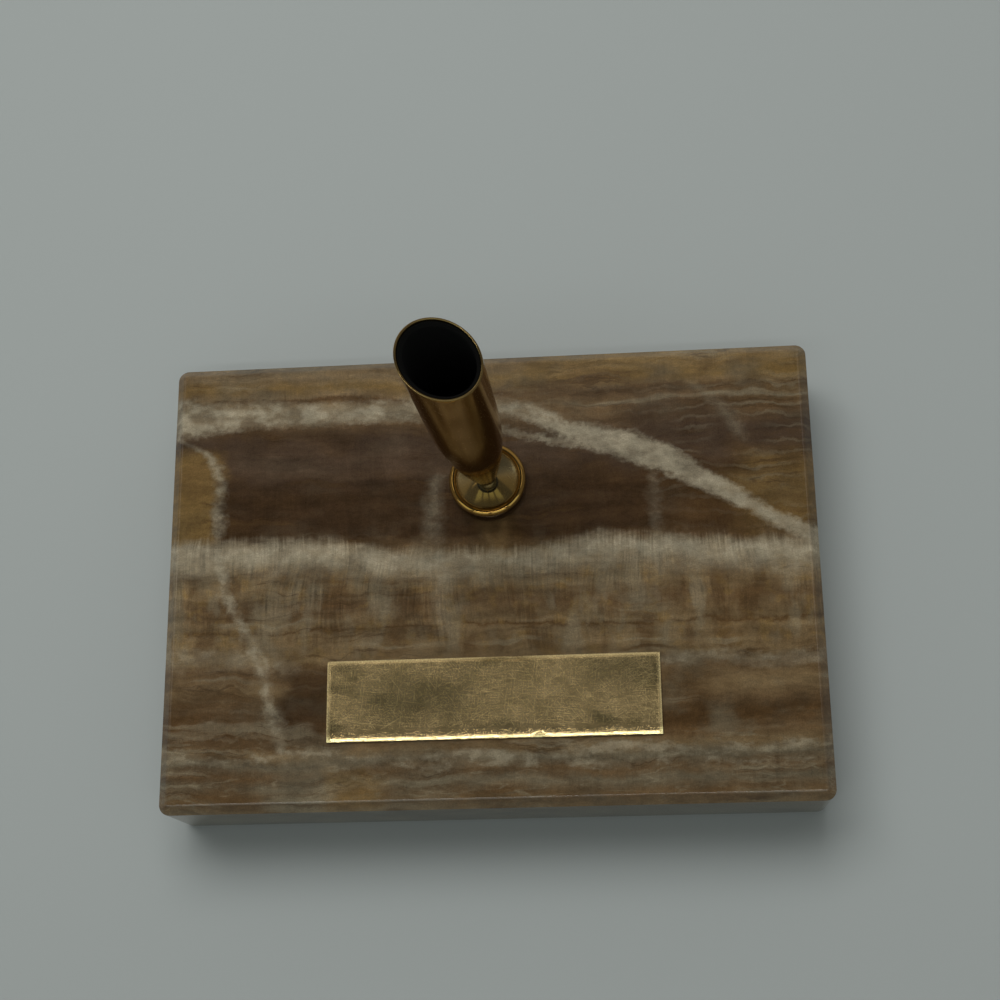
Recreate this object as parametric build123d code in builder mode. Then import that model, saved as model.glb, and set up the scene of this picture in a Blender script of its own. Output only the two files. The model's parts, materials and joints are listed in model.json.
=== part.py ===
"""Onyx pen stand: a stone slab, a brass pen funnel on a ball swivel, and a bare brass plate.

Millimetres. X runs along the slab, Y towards its back, Z up. The origin is the middle of the
underside, on the desk.
"""

import os
from math import cos, pi, radians, sin, sqrt, tan

from build123d import *

# Stone slab and its felt
slab_length = 152.4
slab_depth = 108.0
slab_thickness = 24.0
slab_corner_radius = 2.5
slab_bevel = 2.0
slab_bevel_softening = 0.9
slab_underside_chamfer = 0.5
felt_thickness = 1.0
felt_inset = 3.0
felt_corner_radius = 4.0

# Bare plate on the front half of the slab
plate_length = 76.0
plate_depth = 18.6
plate_thickness = 0.9
plate_offset = 0.6
plate_front_margin = 15.3
plate_front_roll = 3.0
plate_back_roll = 1.2
plate_roll_drop = 0.45
plate_end_bevel = 0.8
plate_end_drop = 0.25
adhesive_thickness = 0.2
adhesive_inset = 1.0

# Place and attitude of the funnel
swivel_x = 0.0
swivel_back_margin = 32.0
funnel_heading = -17.0
funnel_lean = 1.9
mouth_slant = 27.5

# Funnel, measured along its axis from the centre of the ball
funnel_reach = 77.1
mouth_radius = 8.2
shoulder_reach = 45.6
shoulder_radius = 7.75
tip_reach = 4.9
tip_radius = 2.2
shell_wall = 0.45
tip_floor = 0.8
rim_rounding = 0.15
liner_wall = 0.8
liner_floor = 1.2
liner_clearance = 0.1
liner_recess = 0.5
liner_lead_in = 0.6
plug_height = 7.0
plug_clearance = 0.05
plug_slot_width = 0.8
plug_slot_depth = 1.0

# Ball with its neck, collar and threaded shank
ball_radius = 2.9
neck_radius = 0.9
collar_radius = 1.8
collar_height = 0.6
shank_radius = 1.1
shank_clearance = 0.05

# Dish with its ball seat and boss
dish_radius = 9.1
dish_rim_height = 2.6
dish_bead_radius = 1.1
dish_bowl_radius = 29.0
dish_centre_thickness = 1.2
fibre_washer_thickness = 0.4
fibre_washer_inset = 0.6
seat_clearance = 0.03
throat_radius = 1.75
throat_flare_height = 0.45
throat_flare_angle = 35.0
seat_start_height = 0.4
bore_clearance = 0.1
boss_wall = 0.9
boss_length = 4.0

# Barrel, follower cup, spring and tension plug
barrel_wall = 2.0
boss_fit_clearance = 0.02
boss_end_gap = 0.2
barrel_end_above_felt = 3.5
cup_clearance = 0.06
cup_skirt_depth = 1.2
cup_height = 3.8
cup_spigot_radius = 1.2
cup_spigot_length = 1.0
spring_wire_radius = 0.3
spring_bore_gap = 0.35
spring_turns = 6
spring_seat_gap = 0.03
tension_plug_height = 3.0
tension_plug_clearance = 0.03
tension_plug_recess = 0.5
tension_slot_width = 0.9
tension_slot_depth = 1.2

# Washers and nut in the counterbore
stone_bore_clearance = 0.25
counterbore_depth = 11.0
counterbore_clearance = 1.2
washer_band = 3.6
washer_thickness = 1.2
washer_clearance = 0.15
lock_washer_band = 1.8
lock_washer_thickness = 1.0
lock_washer_gap = 1.0
nut_wall = 2.0
nut_height = 3.6
nut_chamfer_angle = 30.0
nut_thread_clearance = 0.03

# Levels worked out from the sizes above
slab_top = felt_thickness + slab_thickness
plate_centre = (plate_offset, plate_front_margin + (plate_depth - slab_depth) / 2)
swivel_y = slab_depth / 2 - swivel_back_margin
counterbore_top = felt_thickness + counterbore_depth
dish_seat = slab_top + fibre_washer_thickness
seat_radius = ball_radius + seat_clearance
throat_height = sqrt(seat_radius**2 - throat_radius**2)
flare_top = throat_height + throat_flare_height
flare_radius = throat_radius + throat_flare_height * tan(radians(throat_flare_angle))
pivot_z = dish_seat + dish_centre_thickness - flare_top
pivot = Vector(swivel_x, swivel_y, pivot_z)
bore_radius = ball_radius + bore_clearance
boss_radius = bore_radius + boss_wall
barrel_radius = bore_radius + barrel_wall
barrel_bottom = felt_thickness + barrel_end_above_felt
stone_bore_radius = barrel_radius + stone_bore_clearance
washer_bore = barrel_radius + washer_clearance
washer_radius = washer_bore + washer_band
lock_washer_radius = washer_bore + lock_washer_band
nut_flat_radius = barrel_radius + nut_wall
nut_corner_radius = nut_flat_radius / cos(pi / 6)
nut_chamfer_rise = (nut_corner_radius - nut_flat_radius) * tan(radians(nut_chamfer_angle))
counterbore_radius = max(washer_radius, nut_corner_radius) + counterbore_clearance
washer_top = counterbore_top
lock_washer_top = washer_top - washer_thickness
nut_top = lock_washer_top - lock_washer_thickness

# Upright section through the swivel: sketch x is the radius, sketch y the height above the ball
swivel_section = Plane(origin=pivot, x_dir=(1, 0, 0), z_dir=(0, -1, 0))
swivel_axis = Axis(pivot, (0, 0, 1))
dish_low = dish_seat - pivot_z

# Leaning frame of the funnel: its local x points at the low lip of the mouth
low_lip_direction = Vector(1, 0, 0).rotate(Axis.Z, funnel_heading)
tilt_direction = Vector(0, 0, 1).cross(low_lip_direction)
tilt_axis = Axis((0, 0, 0), tilt_direction)
funnel_direction = Vector(0, 0, 1).rotate(tilt_axis, -funnel_lean)
funnel_x = low_lip_direction.rotate(tilt_axis, -funnel_lean)
funnel_section = Plane(origin=pivot, x_dir=funnel_x, z_dir=-tilt_direction)
funnel_axis = Axis(pivot, funnel_direction)
mouth_normal = funnel_direction.rotate(tilt_axis, mouth_slant)
mouth_middle = pivot + funnel_direction * funnel_reach
mouth_plane = Plane(origin=mouth_middle, x_dir=tilt_direction, z_dir=mouth_normal)
liner_mouth_plane = mouth_plane.offset(-liner_recess)
mouth_rise = mouth_radius * tan(radians(mouth_slant))
blank_reach = funnel_reach + 2 * mouth_rise

# Outer line of the funnel: a slight taper above the shoulder and a tangent arc below it
taper_rise = funnel_reach - shoulder_reach
taper_length = sqrt((mouth_radius - shoulder_radius) ** 2 + taper_rise**2)
taper_sin = (mouth_radius - shoulder_radius) / taper_length
taper_cos = taper_rise / taper_length
tip_dr = tip_radius - shoulder_radius
tip_dz = tip_reach - shoulder_reach
ogive_radius = (tip_dr**2 + tip_dz**2) / (2 * (taper_sin * tip_dz - taper_cos * tip_dr))
ogive_centre_r = shoulder_radius - ogive_radius * taper_cos
ogive_centre_z = shoulder_reach + ogive_radius * taper_sin


def shoulder_point(inset):
    """Point where the arc meets the taper, on a line laid inset inside the outer one."""
    return (shoulder_radius - inset * taper_cos, shoulder_reach + inset * taper_sin)


def funnel_radius(reach, inset):
    """Radius at a reach along the axis, on a line laid inset inside the outer one."""
    corner_r, corner_z = shoulder_point(inset)
    if reach >= corner_z:
        return corner_r + (reach - corner_z) * taper_sin / taper_cos
    return ogive_centre_r + sqrt((ogive_radius - inset) ** 2 - (reach - ogive_centre_z) ** 2)


def ogive_arc(inset, low, high):
    """Stretch of the ogive between two reaches, drawn upwards."""
    middle = (low + high) / 2
    ends = [(funnel_radius(reach, inset), reach) for reach in (low, middle, high)]
    return ThreePointArc(*ends)


def funnel_line(inset, low):
    """Ogive from a low reach to the shoulder, then the taper to the blank's open end."""
    corner = shoulder_point(inset)
    ogive_arc(inset, low, corner[1])
    Line(corner, (funnel_radius(blank_reach, inset), blank_reach))


os.makedirs("parts", exist_ok=True)


def write(builder, name):
    """Label a finished piece and write it to its own file."""
    builder.part.label = name
    export_step(builder.part, f"parts/{name}.step")


# Felt under the stone
with BuildPart() as felt_pad:
    with BuildSketch(Plane.XY):
        RectangleRounded(slab_length - 2 * felt_inset, slab_depth - 2 * felt_inset, felt_corner_radius)
    extrude(amount=felt_thickness)
write(felt_pad, "felt_pad")

# Stone slab, bored for the barrel and counterbored from below for the nut
with BuildPart() as onyx_slab:
    with BuildSketch(Plane.XY.offset(felt_thickness)):
        RectangleRounded(slab_length, slab_depth, slab_corner_radius)
    extrude(amount=slab_thickness)
    chamfer(onyx_slab.faces().sort_by(Axis.Z)[-1].edges(), slab_bevel)
    fillet(onyx_slab.faces().sort_by(Axis.Z)[-1].edges(), slab_bevel_softening)
    chamfer(onyx_slab.faces().sort_by(Axis.Z)[0].edges(), slab_underside_chamfer)
    with BuildSketch(Plane.XY.offset(felt_thickness)):
        with Locations((swivel_x, swivel_y)):
            Circle(counterbore_radius)
    extrude(amount=counterbore_depth, mode=Mode.SUBTRACT)
    with BuildSketch(Plane.XY.offset(felt_thickness)):
        with Locations((swivel_x, swivel_y)):
            Circle(stone_bore_radius)
    extrude(amount=slab_thickness, mode=Mode.SUBTRACT)
write(onyx_slab, "onyx_slab")

# Adhesive film under the plate
with BuildPart() as plate_adhesive:
    with BuildSketch(Plane.XY.offset(slab_top)):
        with Locations(plate_centre):
            Rectangle(plate_length - 2 * adhesive_inset, plate_depth - 2 * adhesive_inset)
    extrude(amount=adhesive_thickness)
write(plate_adhesive, "plate_adhesive")

# Plate, its long edges rolled down and its short ends bevelled
plate_low = slab_top + adhesive_thickness
plate_top = plate_low + plate_thickness
plate_front = plate_centre[1] - plate_depth / 2
plate_back = plate_centre[1] + plate_depth / 2
plate_left = plate_centre[0] - plate_length / 2
plate_right = plate_centre[0] + plate_length / 2
plate_edge = plate_top - plate_roll_drop
with BuildPart() as name_plate:
    with BuildSketch(Plane.YZ.offset(plate_centre[0])):
        with BuildLine():
            Polyline(
                (plate_front, plate_edge),
                (plate_front, plate_low),
                (plate_back, plate_low),
                (plate_back, plate_edge),
            )
            back_roll_start = (plate_back - plate_back_roll, plate_top)
            front_roll_start = (plate_front + plate_front_roll, plate_top)
            TangentArc(back_roll_start, (plate_back, plate_edge), tangent=(1, 0))
            Line(back_roll_start, front_roll_start)
            TangentArc(front_roll_start, (plate_front, plate_edge), tangent=(-1, 0))
        make_face()
    extrude(amount=plate_length / 2, both=True)
    with BuildSketch(Plane.XZ.offset(-plate_centre[1])):
        with BuildLine():
            Polyline(
                (plate_left, plate_low),
                (plate_right, plate_low),
                (plate_right, plate_top - plate_end_drop),
                (plate_right - plate_end_bevel, plate_top),
                (plate_left + plate_end_bevel, plate_top),
                (plate_left, plate_top - plate_end_drop),
                close=True,
            )
        make_face()
    extrude(amount=plate_depth, both=True, mode=Mode.INTERSECT)
write(name_plate, "name_plate")

# Fibre washer that beds the dish on the stone
with BuildPart() as fibre_washer:
    with BuildSketch(Plane.XY.offset(slab_top)):
        with Locations((swivel_x, swivel_y)):
            Circle(dish_radius - fibre_washer_inset)
            Circle(stone_bore_radius, mode=Mode.SUBTRACT)
    extrude(amount=fibre_washer_thickness)
write(fibre_washer, "fibre_washer")

# Concave dish with a bead rim, a boss below and a spherical seat for the ball
bead_centre_r = dish_radius - dish_bead_radius
bead_centre_z = dish_low + dish_rim_height - dish_bead_radius
bowl_foot_z = dish_low + dish_centre_thickness


def bowl_height(radius):
    """Height of the bowl's surface, a sphere whose lowest point is on the swivel axis."""
    return bowl_foot_z + dish_bowl_radius - sqrt(dish_bowl_radius**2 - radius**2)


with BuildPart() as swivel_dish:
    with BuildSketch(swivel_section):
        with BuildLine():
            bowl_end = (bead_centre_r, bowl_height(bead_centre_r))
            Polyline((0, bowl_foot_z), (0, dish_low), (bead_centre_r, dish_low), bowl_end)
            ThreePointArc(*[(r, bowl_height(r)) for r in (bead_centre_r, bead_centre_r / 2, 0)])
        make_face()
        with Locations((bead_centre_r, bead_centre_z)):
            Circle(dish_bead_radius)
        with Locations((bead_centre_r, dish_low)):
            Rectangle(2 * dish_bead_radius, bead_centre_z - dish_low, align=(Align.CENTER, Align.MIN))
        with Locations((0, dish_low)):
            Rectangle(boss_radius, boss_length, align=(Align.MIN, Align.MAX))
    revolve(axis=swivel_axis)
    seat_start_radius = sqrt(seat_radius**2 - seat_start_height**2)
    seat_middle = (seat_start_height + throat_height) / 2
    with BuildSketch(swivel_section):
        with BuildLine():
            boss_end = dish_low - boss_length
            bore_line = [(0, boss_end), (bore_radius, boss_end), (bore_radius, seat_start_height)]
            Polyline(*bore_line, (seat_start_radius, seat_start_height))
            ThreePointArc(
                (seat_start_radius, seat_start_height),
                (sqrt(seat_radius**2 - seat_middle**2), seat_middle),
                (throat_radius, throat_height),
            )
            flare_end = (flare_radius, bowl_height(flare_radius))
            Polyline((throat_radius, throat_height), flare_end, (0, flare_end[1]), (0, boss_end))
        make_face()
    revolve(axis=swivel_axis, mode=Mode.SUBTRACT)
write(swivel_dish, "swivel_dish")

# Barrel that screws onto the boss and reaches down through the stone
barrel_high = dish_low
barrel_low = barrel_bottom - pivot_z
boss_pocket_end = dish_low - boss_length - boss_end_gap
boss_pocket_radius = boss_radius + boss_fit_clearance
with BuildPart() as socket_barrel:
    with BuildSketch(swivel_section):
        with BuildLine():
            Polyline(
                (bore_radius, barrel_low),
                (barrel_radius, barrel_low),
                (barrel_radius, barrel_high),
                (boss_pocket_radius, barrel_high),
                (boss_pocket_radius, boss_pocket_end),
                (bore_radius, boss_pocket_end),
                close=True,
            )
        make_face()
    revolve(axis=swivel_axis)
write(socket_barrel, "socket_barrel")

# Follower cup that presses the ball up into its seat
cup_radius = bore_radius - cup_clearance
cup_low = -cup_skirt_depth - cup_height
cup_lip_radius = sqrt(seat_radius**2 - cup_skirt_depth**2)
cup_bowl_depth = seat_radius / sqrt(2)
with BuildPart() as ball_cup:
    with BuildSketch(swivel_section):
        with BuildLine():
            cup_lip = (cup_lip_radius, -cup_skirt_depth)
            Polyline((0, cup_low), (cup_radius, cup_low), (cup_radius, -cup_skirt_depth), cup_lip)
            ThreePointArc(cup_lip, (cup_bowl_depth, -cup_bowl_depth), (0, -seat_radius))
            Line((0, -seat_radius), (0, cup_low))
        make_face()
        with Locations((0, cup_low)):
            Rectangle(cup_spigot_radius, cup_spigot_length, align=(Align.MIN, Align.MAX))
    revolve(axis=swivel_axis)
write(ball_cup, "ball_cup")

# Slotted plug that closes the barrel and carries the spring
tension_plug_low = barrel_low + tension_plug_recess
tension_plug_high = tension_plug_low + tension_plug_height
tension_plug_radius = bore_radius - tension_plug_clearance
with BuildPart() as tension_plug:
    with BuildSketch(Plane(pivot).offset(tension_plug_low)):
        Circle(tension_plug_radius)
    extrude(amount=tension_plug_height)
    with BuildSketch(Plane(pivot).offset(tension_plug_low)):
        Rectangle(2 * tension_plug_radius, tension_slot_width)
    extrude(amount=tension_slot_depth, mode=Mode.SUBTRACT)
write(tension_plug, "tension_plug")

# Coil spring between the plug and the cup, one wire wound in quarter-turn arcs
spring_radius = bore_radius - spring_bore_gap - spring_wire_radius
spring_low = tension_plug_high + spring_wire_radius + spring_seat_gap
spring_high = cup_low - spring_wire_radius - spring_seat_gap
spring_pitch = (spring_high - spring_low) / spring_turns
quarters = 4 * spring_turns


def spring_point(quarter):
    """Point of the wire's centre line after a number of quarter turns."""
    turn = quarter * pi / 2
    height = spring_low + spring_pitch * quarter / 4
    return pivot + Vector(spring_radius * cos(turn), spring_radius * sin(turn), height)


with BuildPart() as friction_spring:
    with BuildLine() as spring_wire:
        for step in range(quarters):
            ThreePointArc(spring_point(step), spring_point(step + 0.5), spring_point(step + 1))
    with BuildSketch(Plane(origin=spring_wire.line @ 0, z_dir=spring_wire.line % 0)):
        Circle(spring_wire_radius)
    sweep()
write(friction_spring, "friction_spring")
print("spring: least gap between turns", round(spring_pitch - 2 * spring_wire_radius, 3))

# Flat washer, split lock washer and hexagon nut that clamp the dish to the stone
with BuildPart() as clamp_washer:
    with BuildSketch(Plane.XY.offset(washer_top)):
        with Locations((swivel_x, swivel_y)):
            Circle(washer_radius)
            Circle(washer_bore, mode=Mode.SUBTRACT)
    extrude(amount=-washer_thickness)
write(clamp_washer, "clamp_washer")

with BuildPart() as lock_washer:
    with BuildSketch(Plane.XY.offset(lock_washer_top)):
        with Locations((swivel_x, swivel_y)):
            Circle(lock_washer_radius)
            Circle(washer_bore, mode=Mode.SUBTRACT)
            from_middle = (Align.MIN, Align.CENTER)
            Rectangle(lock_washer_radius, lock_washer_gap, align=from_middle, mode=Mode.SUBTRACT)
    extrude(amount=-lock_washer_thickness)
write(lock_washer, "lock_washer")

nut_high = nut_top - pivot_z
nut_low = nut_high - nut_height
with BuildPart() as clamp_nut:
    with BuildSketch(Plane.XY.offset(nut_top)):
        with Locations((swivel_x, swivel_y)):
            RegularPolygon(nut_corner_radius, 6)
            Circle(barrel_radius + nut_thread_clearance, mode=Mode.SUBTRACT)
    extrude(amount=-nut_height)
    with BuildSketch(swivel_section):
        with BuildLine():
            Polyline(
                (0, nut_low),
                (nut_flat_radius, nut_low),
                (nut_corner_radius, nut_low + nut_chamfer_rise),
                (nut_corner_radius, nut_high - nut_chamfer_rise),
                (nut_flat_radius, nut_high),
                (0, nut_high),
                close=True,
            )
        make_face()
    revolve(axis=swivel_axis, mode=Mode.INTERSECT)
write(clamp_nut, "clamp_nut")

# Ball, neck, collar and threaded shank, turned in one piece
plug_low = tip_reach + tip_floor
plug_high = plug_low + plug_height
collar_low = tip_reach - collar_height
neck_start = sqrt(ball_radius**2 - neck_radius**2)
with BuildPart() as swivel_ball:
    with BuildSketch(funnel_section):
        with BuildLine():
            ThreePointArc((0, -ball_radius), (ball_radius, 0), (neck_radius, neck_start))
            Polyline(
                (neck_radius, neck_start),
                (neck_radius, collar_low),
                (collar_radius, collar_low),
                (collar_radius, tip_reach),
                (shank_radius, tip_reach),
                (shank_radius, plug_high),
                (0, plug_high),
                (0, -ball_radius),
            )
        make_face()
    revolve(axis=funnel_axis)
write(swivel_ball, "swivel_ball")

# Funnel shell: an ogive with a flat pierced tip and a mouth cut on a slant
shank_hole = shank_radius + shank_clearance
with BuildPart() as funnel_shell:
    with BuildSketch(funnel_section):
        with BuildLine():
            Polyline((shank_hole, plug_low), (shank_hole, tip_reach), (tip_radius, tip_reach))
            funnel_line(0, tip_reach)
            outer_end = (funnel_radius(blank_reach, 0), blank_reach)
            inner_end = (funnel_radius(blank_reach, shell_wall), blank_reach)
            Line(outer_end, inner_end)
            funnel_line(shell_wall, plug_low)
            Line((funnel_radius(plug_low, shell_wall), plug_low), (shank_hole, plug_low))
        make_face()
    revolve(axis=funnel_axis)
    split(bisect_by=mouth_plane, keep=Keep.BOTTOM)
    fillet(funnel_shell.faces().sort_by(Axis(pivot, mouth_normal))[-1].edges(), rim_rounding)
write(funnel_shell, "funnel_shell")

# Tapered plug in the tip that the shank screws into
plug_inset = shell_wall + plug_clearance
with BuildPart() as tip_plug:
    with BuildSketch(funnel_section):
        with BuildLine():
            plug_rim = (funnel_radius(plug_high, plug_inset), plug_high)
            plug_foot = (funnel_radius(plug_low, plug_inset), plug_low)
            Polyline(plug_rim, (shank_hole, plug_high), (shank_hole, plug_low), plug_foot)
            ogive_arc(plug_inset, plug_low, plug_high)
        make_face()
    revolve(axis=funnel_axis)
    slot_plane = Plane(origin=pivot + funnel_direction * plug_high, x_dir=funnel_x, z_dir=funnel_direction)
    with BuildSketch(slot_plane):
        Rectangle(2 * funnel_radius(plug_high, 0), plug_slot_width)
    extrude(amount=-plug_slot_depth, mode=Mode.SUBTRACT)
write(tip_plug, "tip_plug")

# Black liner that stands on the plug and ends just inside the mouth, with a lead-in for the pen
liner_low = plug_high
liner_outset = shell_wall + liner_clearance
liner_inset = liner_outset + liner_wall
liner_bottom = liner_low + liner_floor
with BuildPart() as funnel_liner:
    with BuildSketch(funnel_section):
        with BuildLine():
            Polyline((0, liner_bottom), (0, liner_low), (funnel_radius(liner_low, liner_outset), liner_low))
            funnel_line(liner_outset, liner_low)
            outer_end = (funnel_radius(blank_reach, liner_outset), blank_reach)
            inner_end = (funnel_radius(blank_reach, liner_inset), blank_reach)
            Line(outer_end, inner_end)
            funnel_line(liner_inset, liner_bottom)
            Line((funnel_radius(liner_bottom, liner_inset), liner_bottom), (0, liner_bottom))
        make_face()
    revolve(axis=funnel_axis)
    split(bisect_by=liner_mouth_plane, keep=Keep.BOTTOM)
    liner_rim = funnel_liner.faces().sort_by(Axis(pivot, mouth_normal))[-1]
    chamfer(liner_rim.inner_wires()[0].edges(), liner_lead_in)
write(funnel_liner, "funnel_liner")

print("pivot", tuple(pivot))
print("tilt axis", tuple(tilt_direction))
print("funnel axis", tuple(funnel_direction))
print("middle of the mouth", tuple(mouth_plane.origin))
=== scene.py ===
# %% [markdown]
# # Dressing an onyx pen stand
# The stand is a polished onyx slab with a bare brass plate and a brass pen funnel that swivels in
# a concave dish. The imported model already holds every piece at its real size, so this lesson adds
# what the eye looks for: mirror-smooth surfaces, banded stone, worn brass, felt, a floor and light.
# The imported pieces come in first as a fixed frame, and their boxes give the sizes of the new pieces.

import json
from math import atan2, cos, pi, radians, sin, tan
from types import SimpleNamespace

import bmesh
import bpy
import numpy as np
from mathutils import Matrix, Vector


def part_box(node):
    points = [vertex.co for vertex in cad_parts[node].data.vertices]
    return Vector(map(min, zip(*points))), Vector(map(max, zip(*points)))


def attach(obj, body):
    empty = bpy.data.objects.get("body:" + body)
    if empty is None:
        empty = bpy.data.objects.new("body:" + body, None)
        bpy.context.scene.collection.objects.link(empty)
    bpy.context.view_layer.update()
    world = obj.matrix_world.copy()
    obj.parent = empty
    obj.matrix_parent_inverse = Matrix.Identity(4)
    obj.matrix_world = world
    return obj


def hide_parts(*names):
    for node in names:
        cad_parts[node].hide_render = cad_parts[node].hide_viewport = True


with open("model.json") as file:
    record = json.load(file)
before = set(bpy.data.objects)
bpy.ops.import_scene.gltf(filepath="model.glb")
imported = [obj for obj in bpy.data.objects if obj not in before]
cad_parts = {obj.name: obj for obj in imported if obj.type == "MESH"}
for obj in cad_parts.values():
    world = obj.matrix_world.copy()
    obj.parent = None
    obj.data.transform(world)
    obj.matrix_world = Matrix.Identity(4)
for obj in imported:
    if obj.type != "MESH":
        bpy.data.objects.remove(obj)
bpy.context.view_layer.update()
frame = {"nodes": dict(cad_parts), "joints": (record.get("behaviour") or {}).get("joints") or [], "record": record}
mm = 0.001
print("packed pieces:", len(frame["nodes"]))

# %% [markdown]
# ## The viewpoint
# The stand is looked down on from high over its front edge, a little to the right. A camera could
# be tied to the object by a constraint, but three plain values are easier to read: where it is,
# what it looks at, and how far it is rolled about its own line of sight.

# %% Camera
camera_place = Vector((33.35, -97.75, 396.44)) * mm
camera_aim = Vector((2.76, 17.43, 25.0)) * mm
camera_roll = radians(-16.35)
camera_lens = 59.76
camera_sensor = 36.0
camera_near = 10 * mm

camera_data = bpy.data.cameras.new("camera")
camera_data.sensor_width = camera_sensor
camera_data.lens = camera_lens
camera_data.clip_start = camera_near
camera = bpy.data.objects.new("camera", camera_data)
camera_turn = (camera_aim - camera_place).to_track_quat("-Z", "Y").to_matrix()
camera_turn = camera_turn @ Matrix.Rotation(camera_roll, 3, "Z")
camera.matrix_world = Matrix.Translation(camera_place) @ camera_turn.to_4x4()
bpy.context.scene.collection.objects.link(camera)
bpy.context.scene.camera = camera
bpy.context.scene.view_settings.view_transform = "Standard"
print("camera height:", round(camera_place.z, 3))

# %% [markdown]
# ## Surfaces from formulas
# Each new piece is a grid of points: rows follow a profile, columns go around or along the piece.
# Pushing vertices by hand would also work, but a formula gives mirror-smooth brass and is changed
# by one number. This helper turns such a grid into a closed mesh with its faces outwards.

# %% Grid to mesh
merge_distance = 0.0001 * mm


def closed_piece(name, points, ring_closes=True, profile_closes=False, sharp_angle=28):
    """Mesh over a grid of points, in which four neighbours make a face and ends join where asked.

    Points that fall together, as at a pole, are merged. The volume inside the faces is the sum of
    the triple products of their corners over six; where it comes out negative, the faces are turned.
    """
    rows, columns = points.shape[:2]
    index = np.arange(rows * columns).reshape(rows, columns)
    if ring_closes:
        index = np.hstack([index, index[:, :1]])
    if profile_closes:
        index = np.vstack([index, index[:1]])
    quads = np.stack([index[:-1, :-1], index[:-1, 1:], index[1:, 1:], index[1:, :-1]], axis=-1)
    quads = quads.reshape(-1, 4)
    flat = points.reshape(-1, 3)
    a, b, c, d = (flat[quads[:, k]] for k in range(4))
    volume = np.sum(a * (np.cross(b, c) + np.cross(c, d))) / 6
    if volume < 0:
        quads = quads[:, ::-1]
    mesh = bpy.data.meshes.new(name)
    mesh.from_pydata(flat.tolist(), [], quads.tolist())
    merged = bmesh.new()
    merged.from_mesh(mesh)
    bmesh.ops.remove_doubles(merged, verts=merged.verts, dist=merge_distance)
    merged.to_mesh(mesh)
    merged.free()
    mesh.shade_smooth()
    mesh.set_sharp_from_angle(angle=radians(sharp_angle))
    piece = bpy.data.objects.new(name, mesh)
    bpy.context.scene.collection.objects.link(piece)
    print(name, "faces:", len(mesh.polygons))
    return piece


def stand_for(piece, node, body):
    """Show a new piece in place of a packed one, on the same body."""
    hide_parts(node)
    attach(piece, body)
    return piece


# %% [markdown]
# ## The onyx slab
# The real slab is sawn, ground and polished, with a narrow bevel around the top and a bore for the
# swivel. A subdivided box would round the bevel away. Here one closed profile runs from the bore
# out over the top, down the side and back underneath, and it is carried around the rounded
# rectangle of the slab's outline, shrinking to the bore's circle on the inside.


# %% Slab outline
def corners(node):
    """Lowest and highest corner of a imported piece's box."""
    return [np.array(corner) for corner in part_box(node)]


slab_low, slab_high = corners("onyx_slab")
slab_half = (slab_high - slab_low) / 2
slab_corner = 2.5 * mm


def rounded_outline(half, corner, inset=0.0, per_corner=10, per_side=44):
    """Rounded rectangle: a quarter circle at each corner, and evenly spaced points between them.

    An inset moves the sides in and shortens the corner radius by the same amount.
    """
    reach = np.array(half[:2]) - corner
    radius = corner - inset
    turn = np.linspace(0, pi / 2, per_corner)[None] + np.arange(4)[:, None] * pi / 2
    sign = np.array([(1, 1), (-1, 1), (-1, -1), (1, -1)])
    arcs = (sign * reach)[:, None] + radius * np.stack([np.cos(turn), np.sin(turn)], axis=-1)
    share = np.linspace(0, 1, per_side + 2)[1:-1, None]
    starts, ends = arcs[:, -1:], np.roll(arcs[:, :1], -1, axis=0)
    sides = starts + (ends - starts) * share
    return np.concatenate([arcs, sides], axis=1).reshape(-1, 2)


# %% Slab surface
slab_bevel = 2.0 * mm
slab_softening = 0.9 * mm
slab_chamfer = 0.5 * mm
bore_clearance = 0.25 * mm
counterbore_clearance = 1.2 * mm
swivel = np.array(frame["joints"][0]["pos_m"])
barrel_low, barrel_high = corners("socket_barrel")
washer_low, washer_high = corners("clamp_washer")
bore_radius = (barrel_high - barrel_low)[0] / 2 + bore_clearance
counterbore_radius = (washer_high - washer_low)[0] / 2 + counterbore_clearance
counterbore_roof = washer_high[2]


def softened_bevel(top, count=7):
    """Insets and heights of the bevel: flat top, a small arc, the 45 degree slope, then the side.

    The arc has the softening as its radius and turns from level to the slope of the bevel.
    """
    trim = slab_softening * tan(pi / 8)
    angle = np.linspace(0, pi / 4, count)
    inset = slab_bevel + trim - slab_softening * np.sin(angle)
    height = top - slab_softening * (1 - np.cos(angle))
    return list(zip(inset, height)) + [(0.0, top - slab_bevel)]


def slab_ring(inset, height):
    """One ring of the slab's outside: its outline moved in by the inset, at a height."""
    outline = rounded_outline(slab_half, slab_corner, inset)
    return np.column_stack([outline, np.full(len(outline), height)])


def bore_ring(radius, height):
    """One ring of a bore: the circle about the swivel, each point facing its outline point."""
    outline = rounded_outline(slab_half, slab_corner) - swivel[:2]
    circle = swivel[:2] + radius * outline / np.linalg.norm(outline, axis=1, keepdims=True)
    return np.column_stack([circle, np.full(len(circle), height)])


outside = softened_bevel(slab_high[2])
outside += [(0.0, slab_low[2] + slab_chamfer), (slab_chamfer, slab_low[2])]
inside = [(counterbore_radius, slab_low[2]), (counterbore_radius, counterbore_roof)]
inside += [(bore_radius, counterbore_roof), (bore_radius, slab_high[2])]
slab_points = [slab_ring(*step) for step in outside] + [bore_ring(*step) for step in inside]
onyx_slab = closed_piece("onyx_slab_polished", np.stack(slab_points), profile_closes=True)
stand_for(onyx_slab, "onyx_slab", "base")

# %% [markdown]
# ## The bare plate
# A thin brass plate is stuck on the front half of the stone. Its long edges are rolled over, the
# front one more than the back one, and its short ends are dressed with a file. A bevel modifier
# would treat all edges alike, so the plate is a height over a grid: each edge has its own drop,
# and the knock in the front edge and the nick in the back edge are small dips in that height.

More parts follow.
